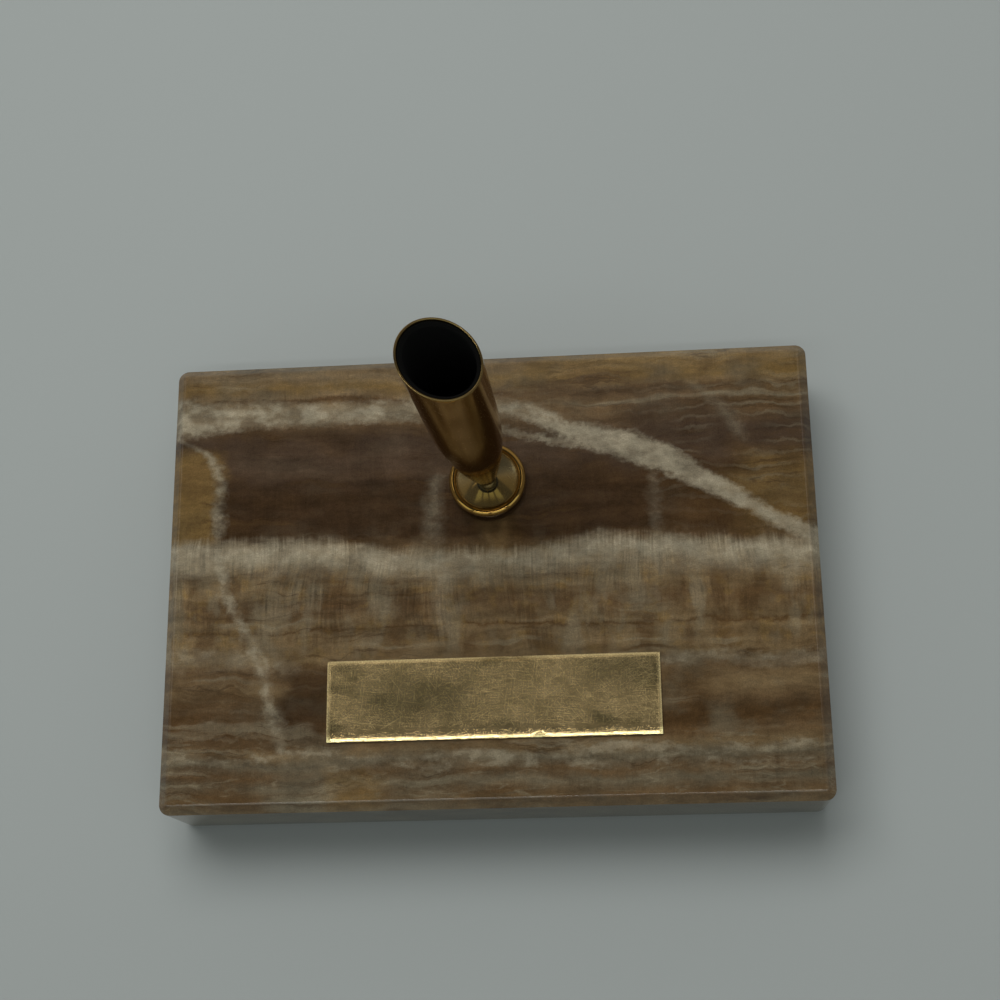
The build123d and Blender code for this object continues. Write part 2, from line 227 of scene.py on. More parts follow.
# %% Plate surface
plate_low, plate_high = corners("name_plate")
plate_front_roll = 3.0 * mm
plate_back_roll = 1.2 * mm
plate_roll_drop = 0.45 * mm
plate_end_bevel = 0.8 * mm
plate_end_drop = 0.25 * mm
plate_end_crowd = 1.6 * mm
plate_edge_crowd = 3.2 * mm


def crowded_ends(low, high, crowd, crowded, plain):
    """Stations from low to high, close together within crowd of both ends and even between."""
    first = np.linspace(low, low + crowd, crowded, endpoint=False)
    middle = np.linspace(low + crowd, high - crowd, plain)
    last = np.linspace(high - crowd, high, crowded + 1)[1:]
    return np.concatenate([first, middle, last])


def roll_drop(distance, roll):
    """Drop of a rolled edge: the sagitta of the arc that starts level one roll away from the edge."""
    radius = (roll**2 + plate_roll_drop**2) / (2 * plate_roll_drop)
    inward = np.clip(roll - distance, 0, roll)
    return radius - np.sqrt(radius**2 - inward**2)


def dip(x, y, centre, spread, depth):
    """Round dent: a bell curve of a depth that fades over the spread along x and y."""
    away = ((x - centre[0]) / spread[0]) ** 2 + ((y - centre[1]) / spread[1]) ** 2
    return depth * np.exp(-away)


plate_x = crowded_ends(plate_low[0], plate_high[0], plate_end_crowd, crowded=10, plain=230)
plate_y = crowded_ends(plate_low[1], plate_high[1], plate_edge_crowd, crowded=18, plain=40)
plate_gx, plate_gy = np.meshgrid(plate_x, plate_y)
plate_drop = roll_drop(plate_gy - plate_low[1], plate_front_roll)
plate_drop += roll_drop(plate_high[1] - plate_gy, plate_back_roll)
end_distance = np.minimum(plate_gx - plate_low[0], plate_high[0] - plate_gx)
plate_drop += plate_end_drop * np.clip(1 - end_distance / plate_end_bevel, 0, 1)
print("deepest edge in millimetres:", round(float(plate_drop.max() / mm), 2))

# %% Plate wear
front_knock = (11.1 * mm, plate_low[1])
knock_spread = (0.9 * mm, 0.9 * mm)
knock_depth = 0.22 * mm
back_nick = (5.8 * mm, plate_high[1])
nick_spread = (1.6 * mm, 0.7 * mm)
nick_depth = 0.25 * mm
wave_height = 0.012 * mm
wave_x, wave_y = 7.0 * mm, 4.0 * mm
plate_drop += dip(plate_gx, plate_gy, front_knock, knock_spread, knock_depth)
plate_drop += dip(plate_gx, plate_gy, back_nick, nick_spread, nick_depth)
plate_drop += wave_height * np.sin(plate_gx / wave_x) * np.sin(plate_gy / wave_y)
plate_top = np.dstack([plate_gx, plate_gy, np.minimum(plate_high[2] - plate_drop, plate_high[2])])
plate_under = np.dstack([plate_gx, plate_gy, np.full_like(plate_gx, plate_low[2])])


def closed_plate(name, top, under):
    """Closed sheet from two grids with the same stations: the under grid mirrors back below the top.

    Each row runs over the top and returns underneath, so rows are rings; the first and last rows
    are brought together along their middle line, which closes the two long edges.
    """
    rings = np.concatenate([top, under[:, ::-1]], axis=1)
    middle = (top + under) / 2
    first = np.concatenate([middle[:1], middle[:1, ::-1]], axis=1)
    last = np.concatenate([middle[-1:], middle[-1:, ::-1]], axis=1)
    return closed_piece(name, np.concatenate([first, rings, last]))


name_plate = closed_plate("name_plate_worn", plate_top, plate_under)
stand_for(name_plate, "name_plate", "base")

# %% [markdown]
# ## Turned brass
# Dish, ball, funnel and liner are all turned on a lathe or spun, so each is a profile carried
# around an axis. Blender's screw modifier does that too, but the funnel's mouth is cut on a slant,
# and then the profile has to change as it goes around. One function takes both cases.


# %% Carry a profile around an axis
def turned(profile, foot, axis, start, columns=192):
    """Points of a turned surface.

    A profile point of radius r and height h lands at foot + h axis + r (cos t start + sin t side),
    where t is the turn and side is the axis crossed with start. The profile is an array of rows by
    one column, or by as many columns as there are turns, of (radius, height).
    """
    turn = np.linspace(0, 2 * pi, columns, endpoint=False)[:, None]
    ring = np.cos(turn) * start + np.sin(turn) * np.cross(axis, start)
    return foot + profile[..., 1:] * axis + profile[..., :1] * ring


def arc(centre, radius, start, end, count=10):
    """Points of a circle from one angle to another, in degrees from the outward direction."""
    angle = np.radians(np.linspace(start, end, count))
    return np.column_stack([centre[0] + radius * np.cos(angle), centre[1] + radius * np.sin(angle)])


# %% [markdown]
# ## The dish
# The dish is a shallow bowl with a round bead for a rim, spun from brass and let down onto the
# stone. Its bowl is part of a large sphere, which is what makes its reflections fan out. A throat
# in the middle lets the ball's neck through, and a boss below holds the ball.

# %% Dish profile
dish_low, dish_high = corners("swivel_dish")
ball_low = corners("swivel_ball")[0]
dish_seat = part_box("fibre_washer")[1].z
dish_radius = (dish_high - dish_low)[0] / 2
ball_radius = swivel[2] - ball_low[2]
bead_radius = 1.1 * mm
bowl_radius = 29.0 * mm
dish_centre_thickness = 1.2 * mm
seat_clearance = 0.03 * mm
ball_clearance = 0.1 * mm
boss_wall = 0.9 * mm
throat_radius = 1.75 * mm
flare_height = 0.45 * mm
flare_angle = radians(35)
seat_radius = ball_radius + seat_clearance
ball_bore = ball_radius + ball_clearance
boss_radius = ball_bore + boss_wall
flare_radius = throat_radius + flare_height * tan(flare_angle)


def bowl_height(radius):
    """Height of the bowl: a sphere whose lowest point stands on the dish's axis."""
    return dish_seat + dish_centre_thickness + bowl_radius - np.sqrt(bowl_radius**2 - radius**2)


bead_centre = np.array([dish_radius - bead_radius, dish_high[2] - bead_radius])
bead_start = 148.5
seat_start = 8.0
bowl_end = bead_centre[0] + bead_radius * cos(radians(bead_start))
bowl_r = np.linspace(flare_radius, bowl_end, 24, endpoint=False)
throat_angle = np.degrees(np.arccos(throat_radius / seat_radius))
seat_arc = arc((0.0, swivel[2]), seat_radius, seat_start, throat_angle)
dish_profile = np.concatenate([
    np.column_stack([bowl_r, bowl_height(bowl_r)]),
    arc(bead_centre, bead_radius, bead_start, 0, count=22),
    [(dish_radius, dish_seat), (boss_radius, dish_seat), (boss_radius, dish_low[2])],
    [(ball_bore, dish_low[2]), (ball_bore, seat_arc[0, 1])],
    seat_arc,
])
dish_foot = np.array([swivel[0], swivel[1], 0.0])
upright = np.array([0.0, 0.0, 1.0])
sideways = np.array([1.0, 0.0, 0.0])
dish_points = turned(dish_profile[:, None], dish_foot, upright, sideways)
swivel_dish = closed_piece("swivel_dish_spun", dish_points, profile_closes=True)
stand_for(swivel_dish, "swivel_dish", "base")

# %% [markdown]
# ## The funnel
# The funnel is drawn from thin brass: a long pointed arch that swells from a narrow tip to an
# almost straight tube, cut off on a slant so that a pen slides in easily. Its outer line is an arc
# that meets a slight taper without a corner. The same line, laid a wall further in, is the inside.

# %% Funnel line
funnel_axis = np.array(frame["record"]["mounts"][1]["axis"])
mouth_middle = np.array(frame["record"]["mounts"][1]["pos_m"])
tilt_axis = np.array(frame["joints"][1]["axis"])
low_lip = np.cross(tilt_axis, funnel_axis)
funnel_reach = float(np.dot(mouth_middle - swivel, funnel_axis))
mouth_slant = radians(27.5)
mouth_radius = 8.2 * mm
shoulder_reach = 45.6 * mm
shoulder_radius = 7.75 * mm
tip_reach = 4.9 * mm
tip_radius = 2.2 * mm
shell_wall = 0.45 * mm

taper = atan2(mouth_radius - shoulder_radius, funnel_reach - shoulder_reach)
tip_dr = tip_radius - shoulder_radius
tip_dz = tip_reach - shoulder_reach
ogive_radius = (tip_dr**2 + tip_dz**2) / (2 * (sin(taper) * tip_dz - cos(taper) * tip_dr))
ogive_centre = (shoulder_radius - ogive_radius * cos(taper), shoulder_reach + ogive_radius * sin(taper))


def funnel_radius(reach, inset):
    """Radius along the axis: the taper above the shoulder, the arc tangent to it below."""
    corner_r = shoulder_radius - inset * cos(taper)
    corner_z = shoulder_reach + inset * sin(taper)
    straight = corner_r + (reach - corner_z) * tan(taper)
    along = np.minimum(reach, corner_z) - ogive_centre[1]
    curved = ogive_centre[0] + np.sqrt((ogive_radius - inset) ** 2 - along**2)
    return np.where(reach >= corner_z, straight, curved)


def mouth_reach(inset, recess, columns):
    """Reach of the slanted mouth around the funnel, on a line laid inset inside the outer one.

    The mouth is a plane, so the reach falls by the radius times the tangent of the slant at the low
    lip and rises by as much at the high one; the taper's own change of radius is solved for.
    """
    fall = np.cos(np.linspace(0, 2 * pi, columns, endpoint=False)) * tan(mouth_slant)
    middle = funnel_reach - recess / cos(mouth_slant)
    return middle - fall * funnel_radius(middle, inset) / (1 + fall * tan(taper))


# %% Funnel shell
funnel_columns = 224
rim_round = 0.2 * mm
shank_hole = 1.15 * mm
tip_floor = 0.8 * mm
plug_reach = tip_reach + tip_floor
outer_mouth = mouth_reach(0.0, 0.0, funnel_columns)
inner_mouth = mouth_reach(shell_wall, 0.0, funnel_columns)


def funnel_wall(inset, low, high, rows):
    """Profile rows from a low reach up to a reach that differs around the funnel."""
    share = np.linspace(0, 1, rows)[:, None]
    reach = low + (high - low) * share
    return np.stack([funnel_radius(reach, inset), reach], axis=-1)


def rim_rows(rows):
    """Half-round lip: half an ellipse from the outer to the inner wall, as high as the rounding."""
    angle = np.linspace(0, pi, rows)[:, None]
    share = (1 - np.cos(angle)) / 2
    reach = outer_mouth + (inner_mouth - outer_mouth) * share - rim_round * (1 - np.sin(angle))
    radius = funnel_radius(reach, shell_wall * share)
    return np.stack([radius, reach], axis=-1)


def plain_row(radius, reach):
    """One profile row that is the same all around."""
    return np.broadcast_to(np.array([radius, reach]), (1, funnel_columns, 2))


shell_profile = np.concatenate([
    funnel_wall(0.0, tip_reach, outer_mouth - rim_round, rows=120)[:-1],
    rim_rows(rows=11),
    funnel_wall(shell_wall, plug_reach, inner_mouth - rim_round, rows=60)[-2::-1],
    plain_row(shank_hole, plug_reach),
    plain_row(shank_hole, tip_reach),
])
shell_points = turned(shell_profile, swivel, funnel_axis, low_lip, funnel_columns)
funnel_shell = closed_piece("funnel_shell_drawn", shell_points, profile_closes=True)
stand_for(funnel_shell, "funnel_shell", "funnel")

# %% [markdown]
# ## The liner and the ball
# A black plastic liner keeps the pen from scratching inside the funnel; only its rim and its dark
# hollow show. The ball below is turned in one piece with its neck and the collar that the funnel
# stands on. Both reuse the functions above, with profiles that end on the axis.

# %% Liner
liner_clearance = 0.1 * mm
liner_wall = 0.8 * mm
liner_floor_wall = 1.2 * mm
plug_height = 7.0 * mm
liner_outset = shell_wall + liner_clearance
liner_inset = liner_outset + liner_wall
liner_recess = 0.5 * mm
liner_lead_in = 0.6 * mm
liner_reach = plug_reach + plug_height
liner_floor = liner_reach + liner_floor_wall
liner_outer = mouth_reach(liner_outset, liner_recess, funnel_columns)
liner_rim = mouth_reach(liner_inset - liner_lead_in, liner_recess, funnel_columns)
liner_inner = mouth_reach(liner_inset, liner_recess + liner_lead_in, funnel_columns)
liner_profile = np.concatenate([
    plain_row(0.0, liner_reach),
    funnel_wall(liner_outset, liner_reach, liner_outer, rows=60),
    funnel_wall(liner_inset - liner_lead_in, liner_rim, liner_rim, rows=1),
    funnel_wall(liner_inset, liner_floor, liner_inner, rows=60)[::-1],
    plain_row(0.0, liner_floor),
])
liner_points = turned(liner_profile, swivel, funnel_axis, low_lip, funnel_columns)
funnel_liner = closed_piece("funnel_liner_black", liner_points)
stand_for(funnel_liner, "funnel_liner", "funnel")

# %% Ball, neck and collar
neck_radius = 0.9 * mm
collar_radius = 1.8 * mm
collar_height = 0.6 * mm
shank_radius = 1.1 * mm
edge_round = 0.15 * mm
ball_columns = 96
collar_foot = tip_reach - collar_height
collar_edge = collar_radius - edge_round
neck_angle = np.degrees(np.arccos(neck_radius / ball_radius))
ball_profile = np.concatenate([
    arc((0.0, 0.0), ball_radius, -90, neck_angle, count=40),
    [(neck_radius, collar_foot), (collar_edge, collar_foot)],
    arc((collar_edge, collar_foot + edge_round), edge_round, -90, 0, count=5),
    [(collar_radius, tip_reach), (shank_radius, tip_reach), (shank_radius, liner_reach)],
    [(0.0, liner_reach)],
])
ball_points = turned(ball_profile[:, None], swivel, funnel_axis, low_lip, ball_columns)
swivel_ball = closed_piece("swivel_ball_turned", ball_points)
stand_for(swivel_ball, "swivel_ball", "funnel")

# %% [markdown]
# ## The felt
# A sheet of felt is glued under the stone so that it does not scratch the desk. Its cut edge is
# never quite straight and frays a little. Cloth simulation has nothing to do on a sheet that is
# glued flat, so it is a surface of rings from the middle underneath, out around the edge and back
# over the top, and a few sine waves of different lengths stand for the fray.

# %% Felt sheet
felt_low, felt_high = corners("felt_pad")
felt_half = (felt_high - felt_low) / 2
felt_corner = 4.0 * mm
felt_thickness = felt_high[2] - felt_low[2]
felt_face_pull = 0.6 * mm
felt_edge_pull = 0.25 * mm
felt_margin = 0.12 * mm
felt_fray_depth = 0.05 * mm
felt_scales = (0.0, 0.5, 0.9)
# Radians per millimetre of outline, size
felt_waves = [(3.1, 1.0), (7.7, 0.7), (17.3, 0.5)]


def felt_fray(length, phase):
    """Small in-and-out of the cut edge: three sine waves along the outline, none a multiple."""
    waves = enumerate(felt_waves, start=1)
    return sum(size * np.sin(wave * length + turn * phase) for turn, (wave, size) in waves)


felt_outline = rounded_outline(felt_half, felt_corner, per_corner=16, per_side=180)
felt_step = np.linalg.norm(np.roll(felt_outline, -1, axis=0) - felt_outline, axis=1)
felt_length = np.cumsum(felt_step) / mm
felt_out = felt_outline / np.linalg.norm(felt_outline, axis=1, keepdims=True)
felt_angle = np.linspace(-pi / 2, pi / 2, 9)
felt_rows = [felt_low[2], *(felt_low[2] + felt_thickness * (1 + np.sin(felt_angle)) / 2), felt_high[2]]
felt_pull = [felt_face_pull, *(felt_edge_pull * (1 - np.cos(felt_angle))), felt_face_pull]


def felt_ring(row, scale=1.0):
    """Ring of the felt's edge: the outline, pulled in towards its top and bottom, and frayed."""
    fray = felt_fray_depth * felt_fray(felt_length, row)
    ring = (felt_outline - felt_out * (felt_pull[row] + felt_margin + fray)[:, None]) * scale
    return np.column_stack([ring, np.full(len(ring), felt_rows[row])])


felt_top = len(felt_rows) - 1
felt_rings = [felt_ring(0, scale) for scale in felt_scales]
felt_rings += [felt_ring(row) for row in range(len(felt_rows))]
felt_rings += [felt_ring(felt_top, scale) for scale in felt_scales[::-1]]
felt_pad = closed_piece("felt_pad_cut", np.stack(felt_rings), sharp_angle=60)
stand_for(felt_pad, "felt_pad", "base")

# %% [markdown]
# ## Writing materials as code
# A material is a small network of nodes. Each could be wired by hand in the shader editor, but a
# few helpers make the recipe readable as text. Patterns are written in millimetres on the object's
# own coordinates, so they stay put when the funnel moves, and colours are written as they look on
# a screen, from 0 to 255.


# %% Nodes and arithmetic
def feed(tree, node, inputs):
    """Link sockets, or set plain values, on a node's inputs by name or number."""
    for key, value in inputs.items():
        if isinstance(value, bpy.types.NodeSocket):
            tree.links.new(value, node.inputs[key])
        else:
            node.inputs[key].default_value = value


def add_node(tree, kind, inputs=None, **settings):
    """One node with its settings made and its inputs fed."""
    node = tree.nodes.new(kind)
    for key, value in settings.items():
        setattr(node, key, value)
    feed(tree, node, inputs or {})
    return node


def number(tree, operation, *values):
    """Result of one arithmetic step on sockets or plain numbers."""
    return add_node(tree, "ShaderNodeMath", dict(enumerate(values)), operation=operation).outputs[0]


def total(tree, *values):
    """Sum of several sockets or plain numbers."""
    result = values[0]
    for value in values[1:]:
        result = number(tree, "ADD", result, value)
    return result


def times(tree, *values):
    """Product of several sockets or plain numbers."""
    result = values[0]
    for value in values[1:]:
        result = number(tree, "MULTIPLY", result, value)
    return result


def scaled(tree, value, factor, start):
    """A value times a factor, plus a start."""
    return number(tree, "MULTIPLY_ADD", value, factor, start)


def apart(tree, value, middle):
    """How far a value is from a middle, whichever side it is on."""
    return number(tree, "ABSOLUTE", number(tree, "SUBTRACT", value, middle))


# %% Masks and colours
def ease(tree, value, low, high):
    """Smooth ramp from 0 at low to 1 at high, level at both ends; low may be the larger."""
    inputs = {"Value": value, "From Min": low, "From Max": high}
    return add_node(tree, "ShaderNodeMapRange", inputs, interpolation_type="SMOOTHSTEP").outputs[0]


def between(tree, value, low, high, soft):
    """Mask of the values from low to high, with soft ends."""
    rise = ease(tree, value, low - soft, low + soft)
    fall = ease(tree, value, high + soft, high - soft)
    return times(tree, rise, fall)


def boxed(tree, x, y, left, right, front, back, soft):
    """Mask of a box seen from above, with soft edges."""
    return times(tree, between(tree, x, left, right, soft), between(tree, y, front, back, soft))


def blend(tree, mask, under, over):
    """Colour that goes from under to over as the mask goes from 0 to 1."""
    return add_node(tree, "ShaderNodeMix", {0: mask, 6: under, 7: over}, data_type="RGBA").outputs[2]


def shade(tree, colour, amount):
    """Colour times a grey value."""
    inputs = {0: colour, 1: amount}
    return add_node(tree, "ShaderNodeVectorMath", inputs, operation="MULTIPLY").outputs[0]


def vary(tree, colour, value, contrast):
    """Colour made darker or lighter by a random value around a half."""
    return shade(tree, colour, scaled(tree, value, contrast, 1 - 0.5 * contrast))


def screen_colour(red, green, blue):
    """Colour as a shader wants it, from the 0 to 255 that a screen shows."""
    value = np.array([red, green, blue]) / 255
    linear = np.where(value <= 0.04045, value / 12.92, ((value + 0.055) / 1.055) ** 2.4)
    return (*(float(part) for part in linear), 1.0)


# %% Places and noise
def millimetres(tree):
    """The object's own coordinates, in millimetres."""
    place = add_node(tree, "ShaderNodeTexCoord").outputs["Object"]
    return add_node(tree, "ShaderNodeVectorMath", {0: place, 3: 1 / mm}, operation="SCALE").outputs[0]


def split(tree, place):
    """The x, y and z of a place or direction."""
    return add_node(tree, "ShaderNodeSeparateXYZ", {0: place}).outputs[:]


def joined(tree, x, y, z):
    """A place from its x, y and z."""
    return add_node(tree, "ShaderNodeCombineXYZ", {0: x, 1: y, 2: z}).outputs[0]


def noise(tree, place, waves, detail=2):
    """Soft random value around a half; waves gives its cycles per millimetre along x, y and z."""
    spread = add_node(tree, "ShaderNodeVectorMath", {0: place, 1: waves}, operation="MULTIPLY").outputs[0]
    inputs = {"Vector": spread, "Scale": 1, "Detail": detail}
    return add_node(tree, "ShaderNodeTexNoise", inputs).outputs[0]


def swing(tree, place, waves, detail, reach):
    """Noise about zero; it seldom leaves a quarter of the reach to either side."""
    return scaled(tree, noise(tree, place, waves, detail), reach, -0.5 * reach)


def patches(tree, place, waves, detail, low, high):
    """Mask from noise: 0 where it is under low, 1 where it is over high; low may be the larger."""
    return ease(tree, noise(tree, place, waves, detail), low, high)


# %% Materials
def new_material(name):
    """Material with its node tree and its shader."""
    material = bpy.data.materials.new(name)
    material.use_nodes = True
    return material, material.node_tree, material.node_tree.nodes["Principled BSDF"]


def raised(tree, height, strength, distance):
    """Normal of a surface raised by a height; the distance is how far a height of 1 stands out."""
    inputs = {"Strength": strength, "Distance": distance, "Height": height}
    return add_node(tree, "ShaderNodeBump", inputs).outputs[0]


def dress(material, *pieces):
    """Give a material to pieces, in the slot that they have or in a new one."""
    for piece in pieces:
        if not piece.data.materials:
            piece.data.materials.append(material)
        piece.material_slots[0].material = material
    print(material.name, "on", [piece.name for piece in pieces])


def packed(*names):
    """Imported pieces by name."""
    return [frame["nodes"][name] for name in names]


# %% [markdown]
# ## Effects that several finishes share
# Hairline scratches, pits and a cloudy unevenness turn up on brass, steel and stone alike. Each is
# a node group with named sockets, built once and placed in every material with its own values.
# A group gives out masks only; what the mask does to colour, gloss or bump is each material's own.


# %% Start a node group
def start_group(name, inputs):
    """Shader node group with named inputs and a mask for its output, and its inner ends."""
    group = bpy.data.node_groups.new(name, "ShaderNodeTree")
    for label, value in inputs.items():
        kind = "NodeSocketVector" if value is None else "NodeSocketFloat"
        socket = group.interface.new_socket(label, in_out="INPUT", socket_type=kind)
        if value is not None:
            socket.default_value = value
    group.interface.new_socket("Mask", in_out="OUTPUT", socket_type="NodeSocketFloat")
    return group, group.nodes.new("NodeGroupInput").outputs, group.nodes.new("NodeGroupOutput")


def effect(tree, group, **inputs):
    """Place a shared effect in a material and return its mask."""
    return add_node(tree, "ShaderNodeGroup", inputs, node_tree=group).outputs["Mask"]


# %% Hairline scratches
scratch_headings = (8.0, 52.0, 97.0, 151.0)
scratch_peak = 0.8
scratch_share = 0.25
scratch_soft = 0.08


def hairline_scratches():
    """Noise stretched into short lines along four headings; only its peaks are kept as scratches.

    Each heading turns about a centre of its own, so that no two share their lines.
    """
    inputs = {"Place": None, "Length": 4.0, "Width": 0.25, "Amount": 0.3}
    group, given, result = start_group("hairline scratches", inputs)
    along = number(group, "DIVIDE", 1, given["Length"])
    across = number(group, "DIVIDE", 1, given["Width"])
    waves = joined(group, along, across, across)
    low = number(group, "SUBTRACT", scratch_peak, times(group, given["Amount"], scratch_share))
    mask = 0
    for heading in scratch_headings:
        turn = {"Vector": given["Place"], "Angle": radians(heading), "Center": (heading, 0, 0)}
        place = add_node(group, "ShaderNodeVectorRotate", turn, rotation_type="Z_AXIS").outputs[0]
        peaks = ease(group, noise(group, place, waves, 1), low, total(group, low, scratch_soft))
        mask = number(group, "MAXIMUM", mask, peaks)
    feed(group, result, {"Mask": mask})
    return group


scratches = hairline_scratches()
print("effect:", scratches.name)

# %% Pits
pit_edge = 0.38
pit_core = 0.12
pit_choice = 0.1


def small_pits():
    """Cells of random size: near its centre a chosen share of the cells is a round pit."""
    group, given, result = start_group("small pits", {"Place": None, "Spacing": 0.5, "Amount": 0.3})
    inputs = {"Vector": given["Place"], "Scale": number(group, "DIVIDE", 1, given["Spacing"])}
    cells = add_node(group, "ShaderNodeTexVoronoi", inputs)
    pit = ease(group, cells.outputs["Distance"], pit_edge, pit_core)
    pick = add_node(group, "ShaderNodeSeparateColor", {0: cells.outputs["Color"]}).outputs[0]
    chosen = ease(group, number(group, "SUBTRACT", given["Amount"], pick), 0, pit_choice)
    feed(group, result, {"Mask": times(group, pit, chosen)})
    return group


pits = small_pits()
print("effect:", pits.name)

# %% Clouds
cloud_detail = 4


def soft_clouds():
    """Cloudy mask: noise of a given size, with its contrast drawn out about a half."""
    group, given, result = start_group("soft clouds", {"Place": None, "Size": 10.0, "Contrast": 2.0})
    scale = number(group, "DIVIDE", 1, given["Size"])
    inputs = {"Vector": given["Place"], "Scale": scale, "Detail": cloud_detail}
    cloud = add_node(group, "ShaderNodeTexNoise", inputs).outputs[0]
    drawn = times(group, number(group, "SUBTRACT", cloud, 0.5), given["Contrast"])
    centred = add_node(group, "ShaderNodeMath", {0: drawn, 1: 0.5}, operation="ADD", use_clamp=True)
    feed(group, result, {"Mask": centred.outputs[0]})
    return group


clouds = soft_clouds()
print("effect:", clouds.name)

# %% [markdown]
# ## Onyx
# Banded onyx grows layer on layer, so colour bands run through the block as tilted sheets, and the
# crystals stand across them as fine fibres. Later cracks filled with white stone. A photograph
# wrapped on the block would slide over its edges; a pattern of depth and noise runs through the
# whole block, so the bands turn down over the sides as they do in real stone.

# %% Stone colours
stone = {
    "milk": screen_colour(140, 131, 110),
    "cream": screen_colour(112, 103, 83),
    "tan": screen_colour(99, 82, 57),
    "honey": screen_colour(107, 85, 48),
    "brown": screen_colour(84, 66, 44),
    "russet": screen_colour(69, 50, 28),
    "umber": screen_colour(53, 38, 23),
    "plum": screen_colour(64, 50, 37),
    "ash": screen_colour(88, 79, 62),
}
# Bands from the front edge to the back edge: place in millimetres, colour. The cream at -57 lies on
# the slab's front face: painted light that lightens that face, which is in shade.
stone_bands = [
    (-57, "cream"), (-54, "tan"), (-51, "brown"), (-48, "ash"), (-46, "brown"), (-43, "ash"),
    (-40.5, "tan"), (-38, "brown"), (-34.5, "russet"), (-31, "brown"), (-27, "tan"), (-22, "brown"),
    (-20, "tan"), (-16, "tan"), (-13.2, "tan"), (-12.6, "russet"), (-12, "tan"), (-7, "brown"),
    (-3, "tan"), (3, "tan"), (7, "brown"), (9, "umber"), (20, "umber"), (27, "plum"), (34, "plum"),
    (38.5, "brown"), (42, "tan"), (44.4, "russet"), (45.4, "tan"), (47.5, "honey"), (50, "tan"),
    (55, "tan"),
]
band_reach = 58


def share_of(value, reach):
    """Where a value lies between minus the reach and the reach, from 0 to 1."""
    return 0.5 + 0.5 * value / reach


def band_colour(tree, depth):
    """Colour of the stone at a depth through the bands, from the list of bands."""
    ramp = add_node(tree, "ShaderNodeValToRGB", {0: scaled(tree, depth, 0.5 / band_reach, 0.5)})
    stops = ramp.color_ramp.elements
    while len(stops) < len(stone_bands):
        stops.new(0.5)
    for stop, (place, name) in zip(stops, stone_bands):
        stop.position = share_of(place, band_reach)
        stop.color = stone[name]
    return ramp.outputs[0]


# %% [markdown]
# The broad white sheet in the middle has a toothed upper edge, where crystals grew into the dark
# stone, and fades slowly on its lower side. Its edge and its thickness are drawn by curve nodes
# through a few chosen points, and the fibres push them to and fro.

# %% White sheet
# Along x, upper edge, thickness, in millimetres
white_sheet = [
    (-77, 8.9, 2.6), (-52, 8.7, 2.4), (-39, 8.4, 2.2), (-32, 7.2, 1.9), (-24, 6, 1.8), (-14, 5.2, 1.4),
    (-2, 4.4, 1), (8, 5, 1.2), (18, 6.5, 1.4), (26, 7.7, 1.8), (36, 6.9, 1.6), (48, 6.2, 1.6),
    (60, 5.4, 1.8), (77, 5, 2.2),
]
sheet_rise = (-2.2, 1.8)
sheet_fade = 7.5
sheet_teeth = 2.6
sheet_strength = 0.92
sheet_broken = 0.35
vein_span = 80
width_span = 10


def drawn_line(tree, along, points, span):
    """Value that follows chosen (place, value) points smoothly; both lie within the spans given."""
    curve = add_node(tree, "ShaderNodeFloatCurve", {"Value": scaled(tree, along, 0.5 / vein_span, 0.5)})
    line = curve.mapping.curves[0]
    spots = [(share_of(place, vein_span), share_of(value, span)) for place, value in points]
    line.points[0].location = spots[0]
    line.points[1].location = spots[-1]
    for spot in spots[1:-1]:
        line.points.new(*spot)
    curve.mapping.update()
    return scaled(tree, curve.outputs[0], 2 * span, -span)


def kept_share(tree, patchy, strength, broken):
    """Strength that falls by the broken share of it where the stone is not patchy."""
    return scaled(tree, patchy, strength * broken, strength * (1 - broken))


def sheet_mask(tree, x, across, fibre, patchy):
    """Mask of the sheet: it rises steeply below its toothed edge and fades over its lower side."""
    edge = drawn_line(tree, x, [(along, top) for along, top, thick in white_sheet], width_span)
    thickness = drawn_line(tree, x, [(along, thick) for along, top, thick in white_sheet], width_span)
    teeth = scaled(tree, fibre, sheet_teeth, -0.5 * sheet_teeth)
    under = total(tree, number(tree, "SUBTRACT", edge, across), teeth)
    fall = ease(tree, number(tree, "SUBTRACT", under, thickness), sheet_fade, 0)
    kept = kept_share(tree, patchy, sheet_strength, sheet_broken)
    return times(tree, ease(tree, under, *sheet_rise), fall, kept)


# %% [markdown]
# Each other vein is drawn the same way, by its middle line and half its width. Noise frays its
# edges, and a second noise breaks it up: a vein in real stone is milky here and nearly clear there.

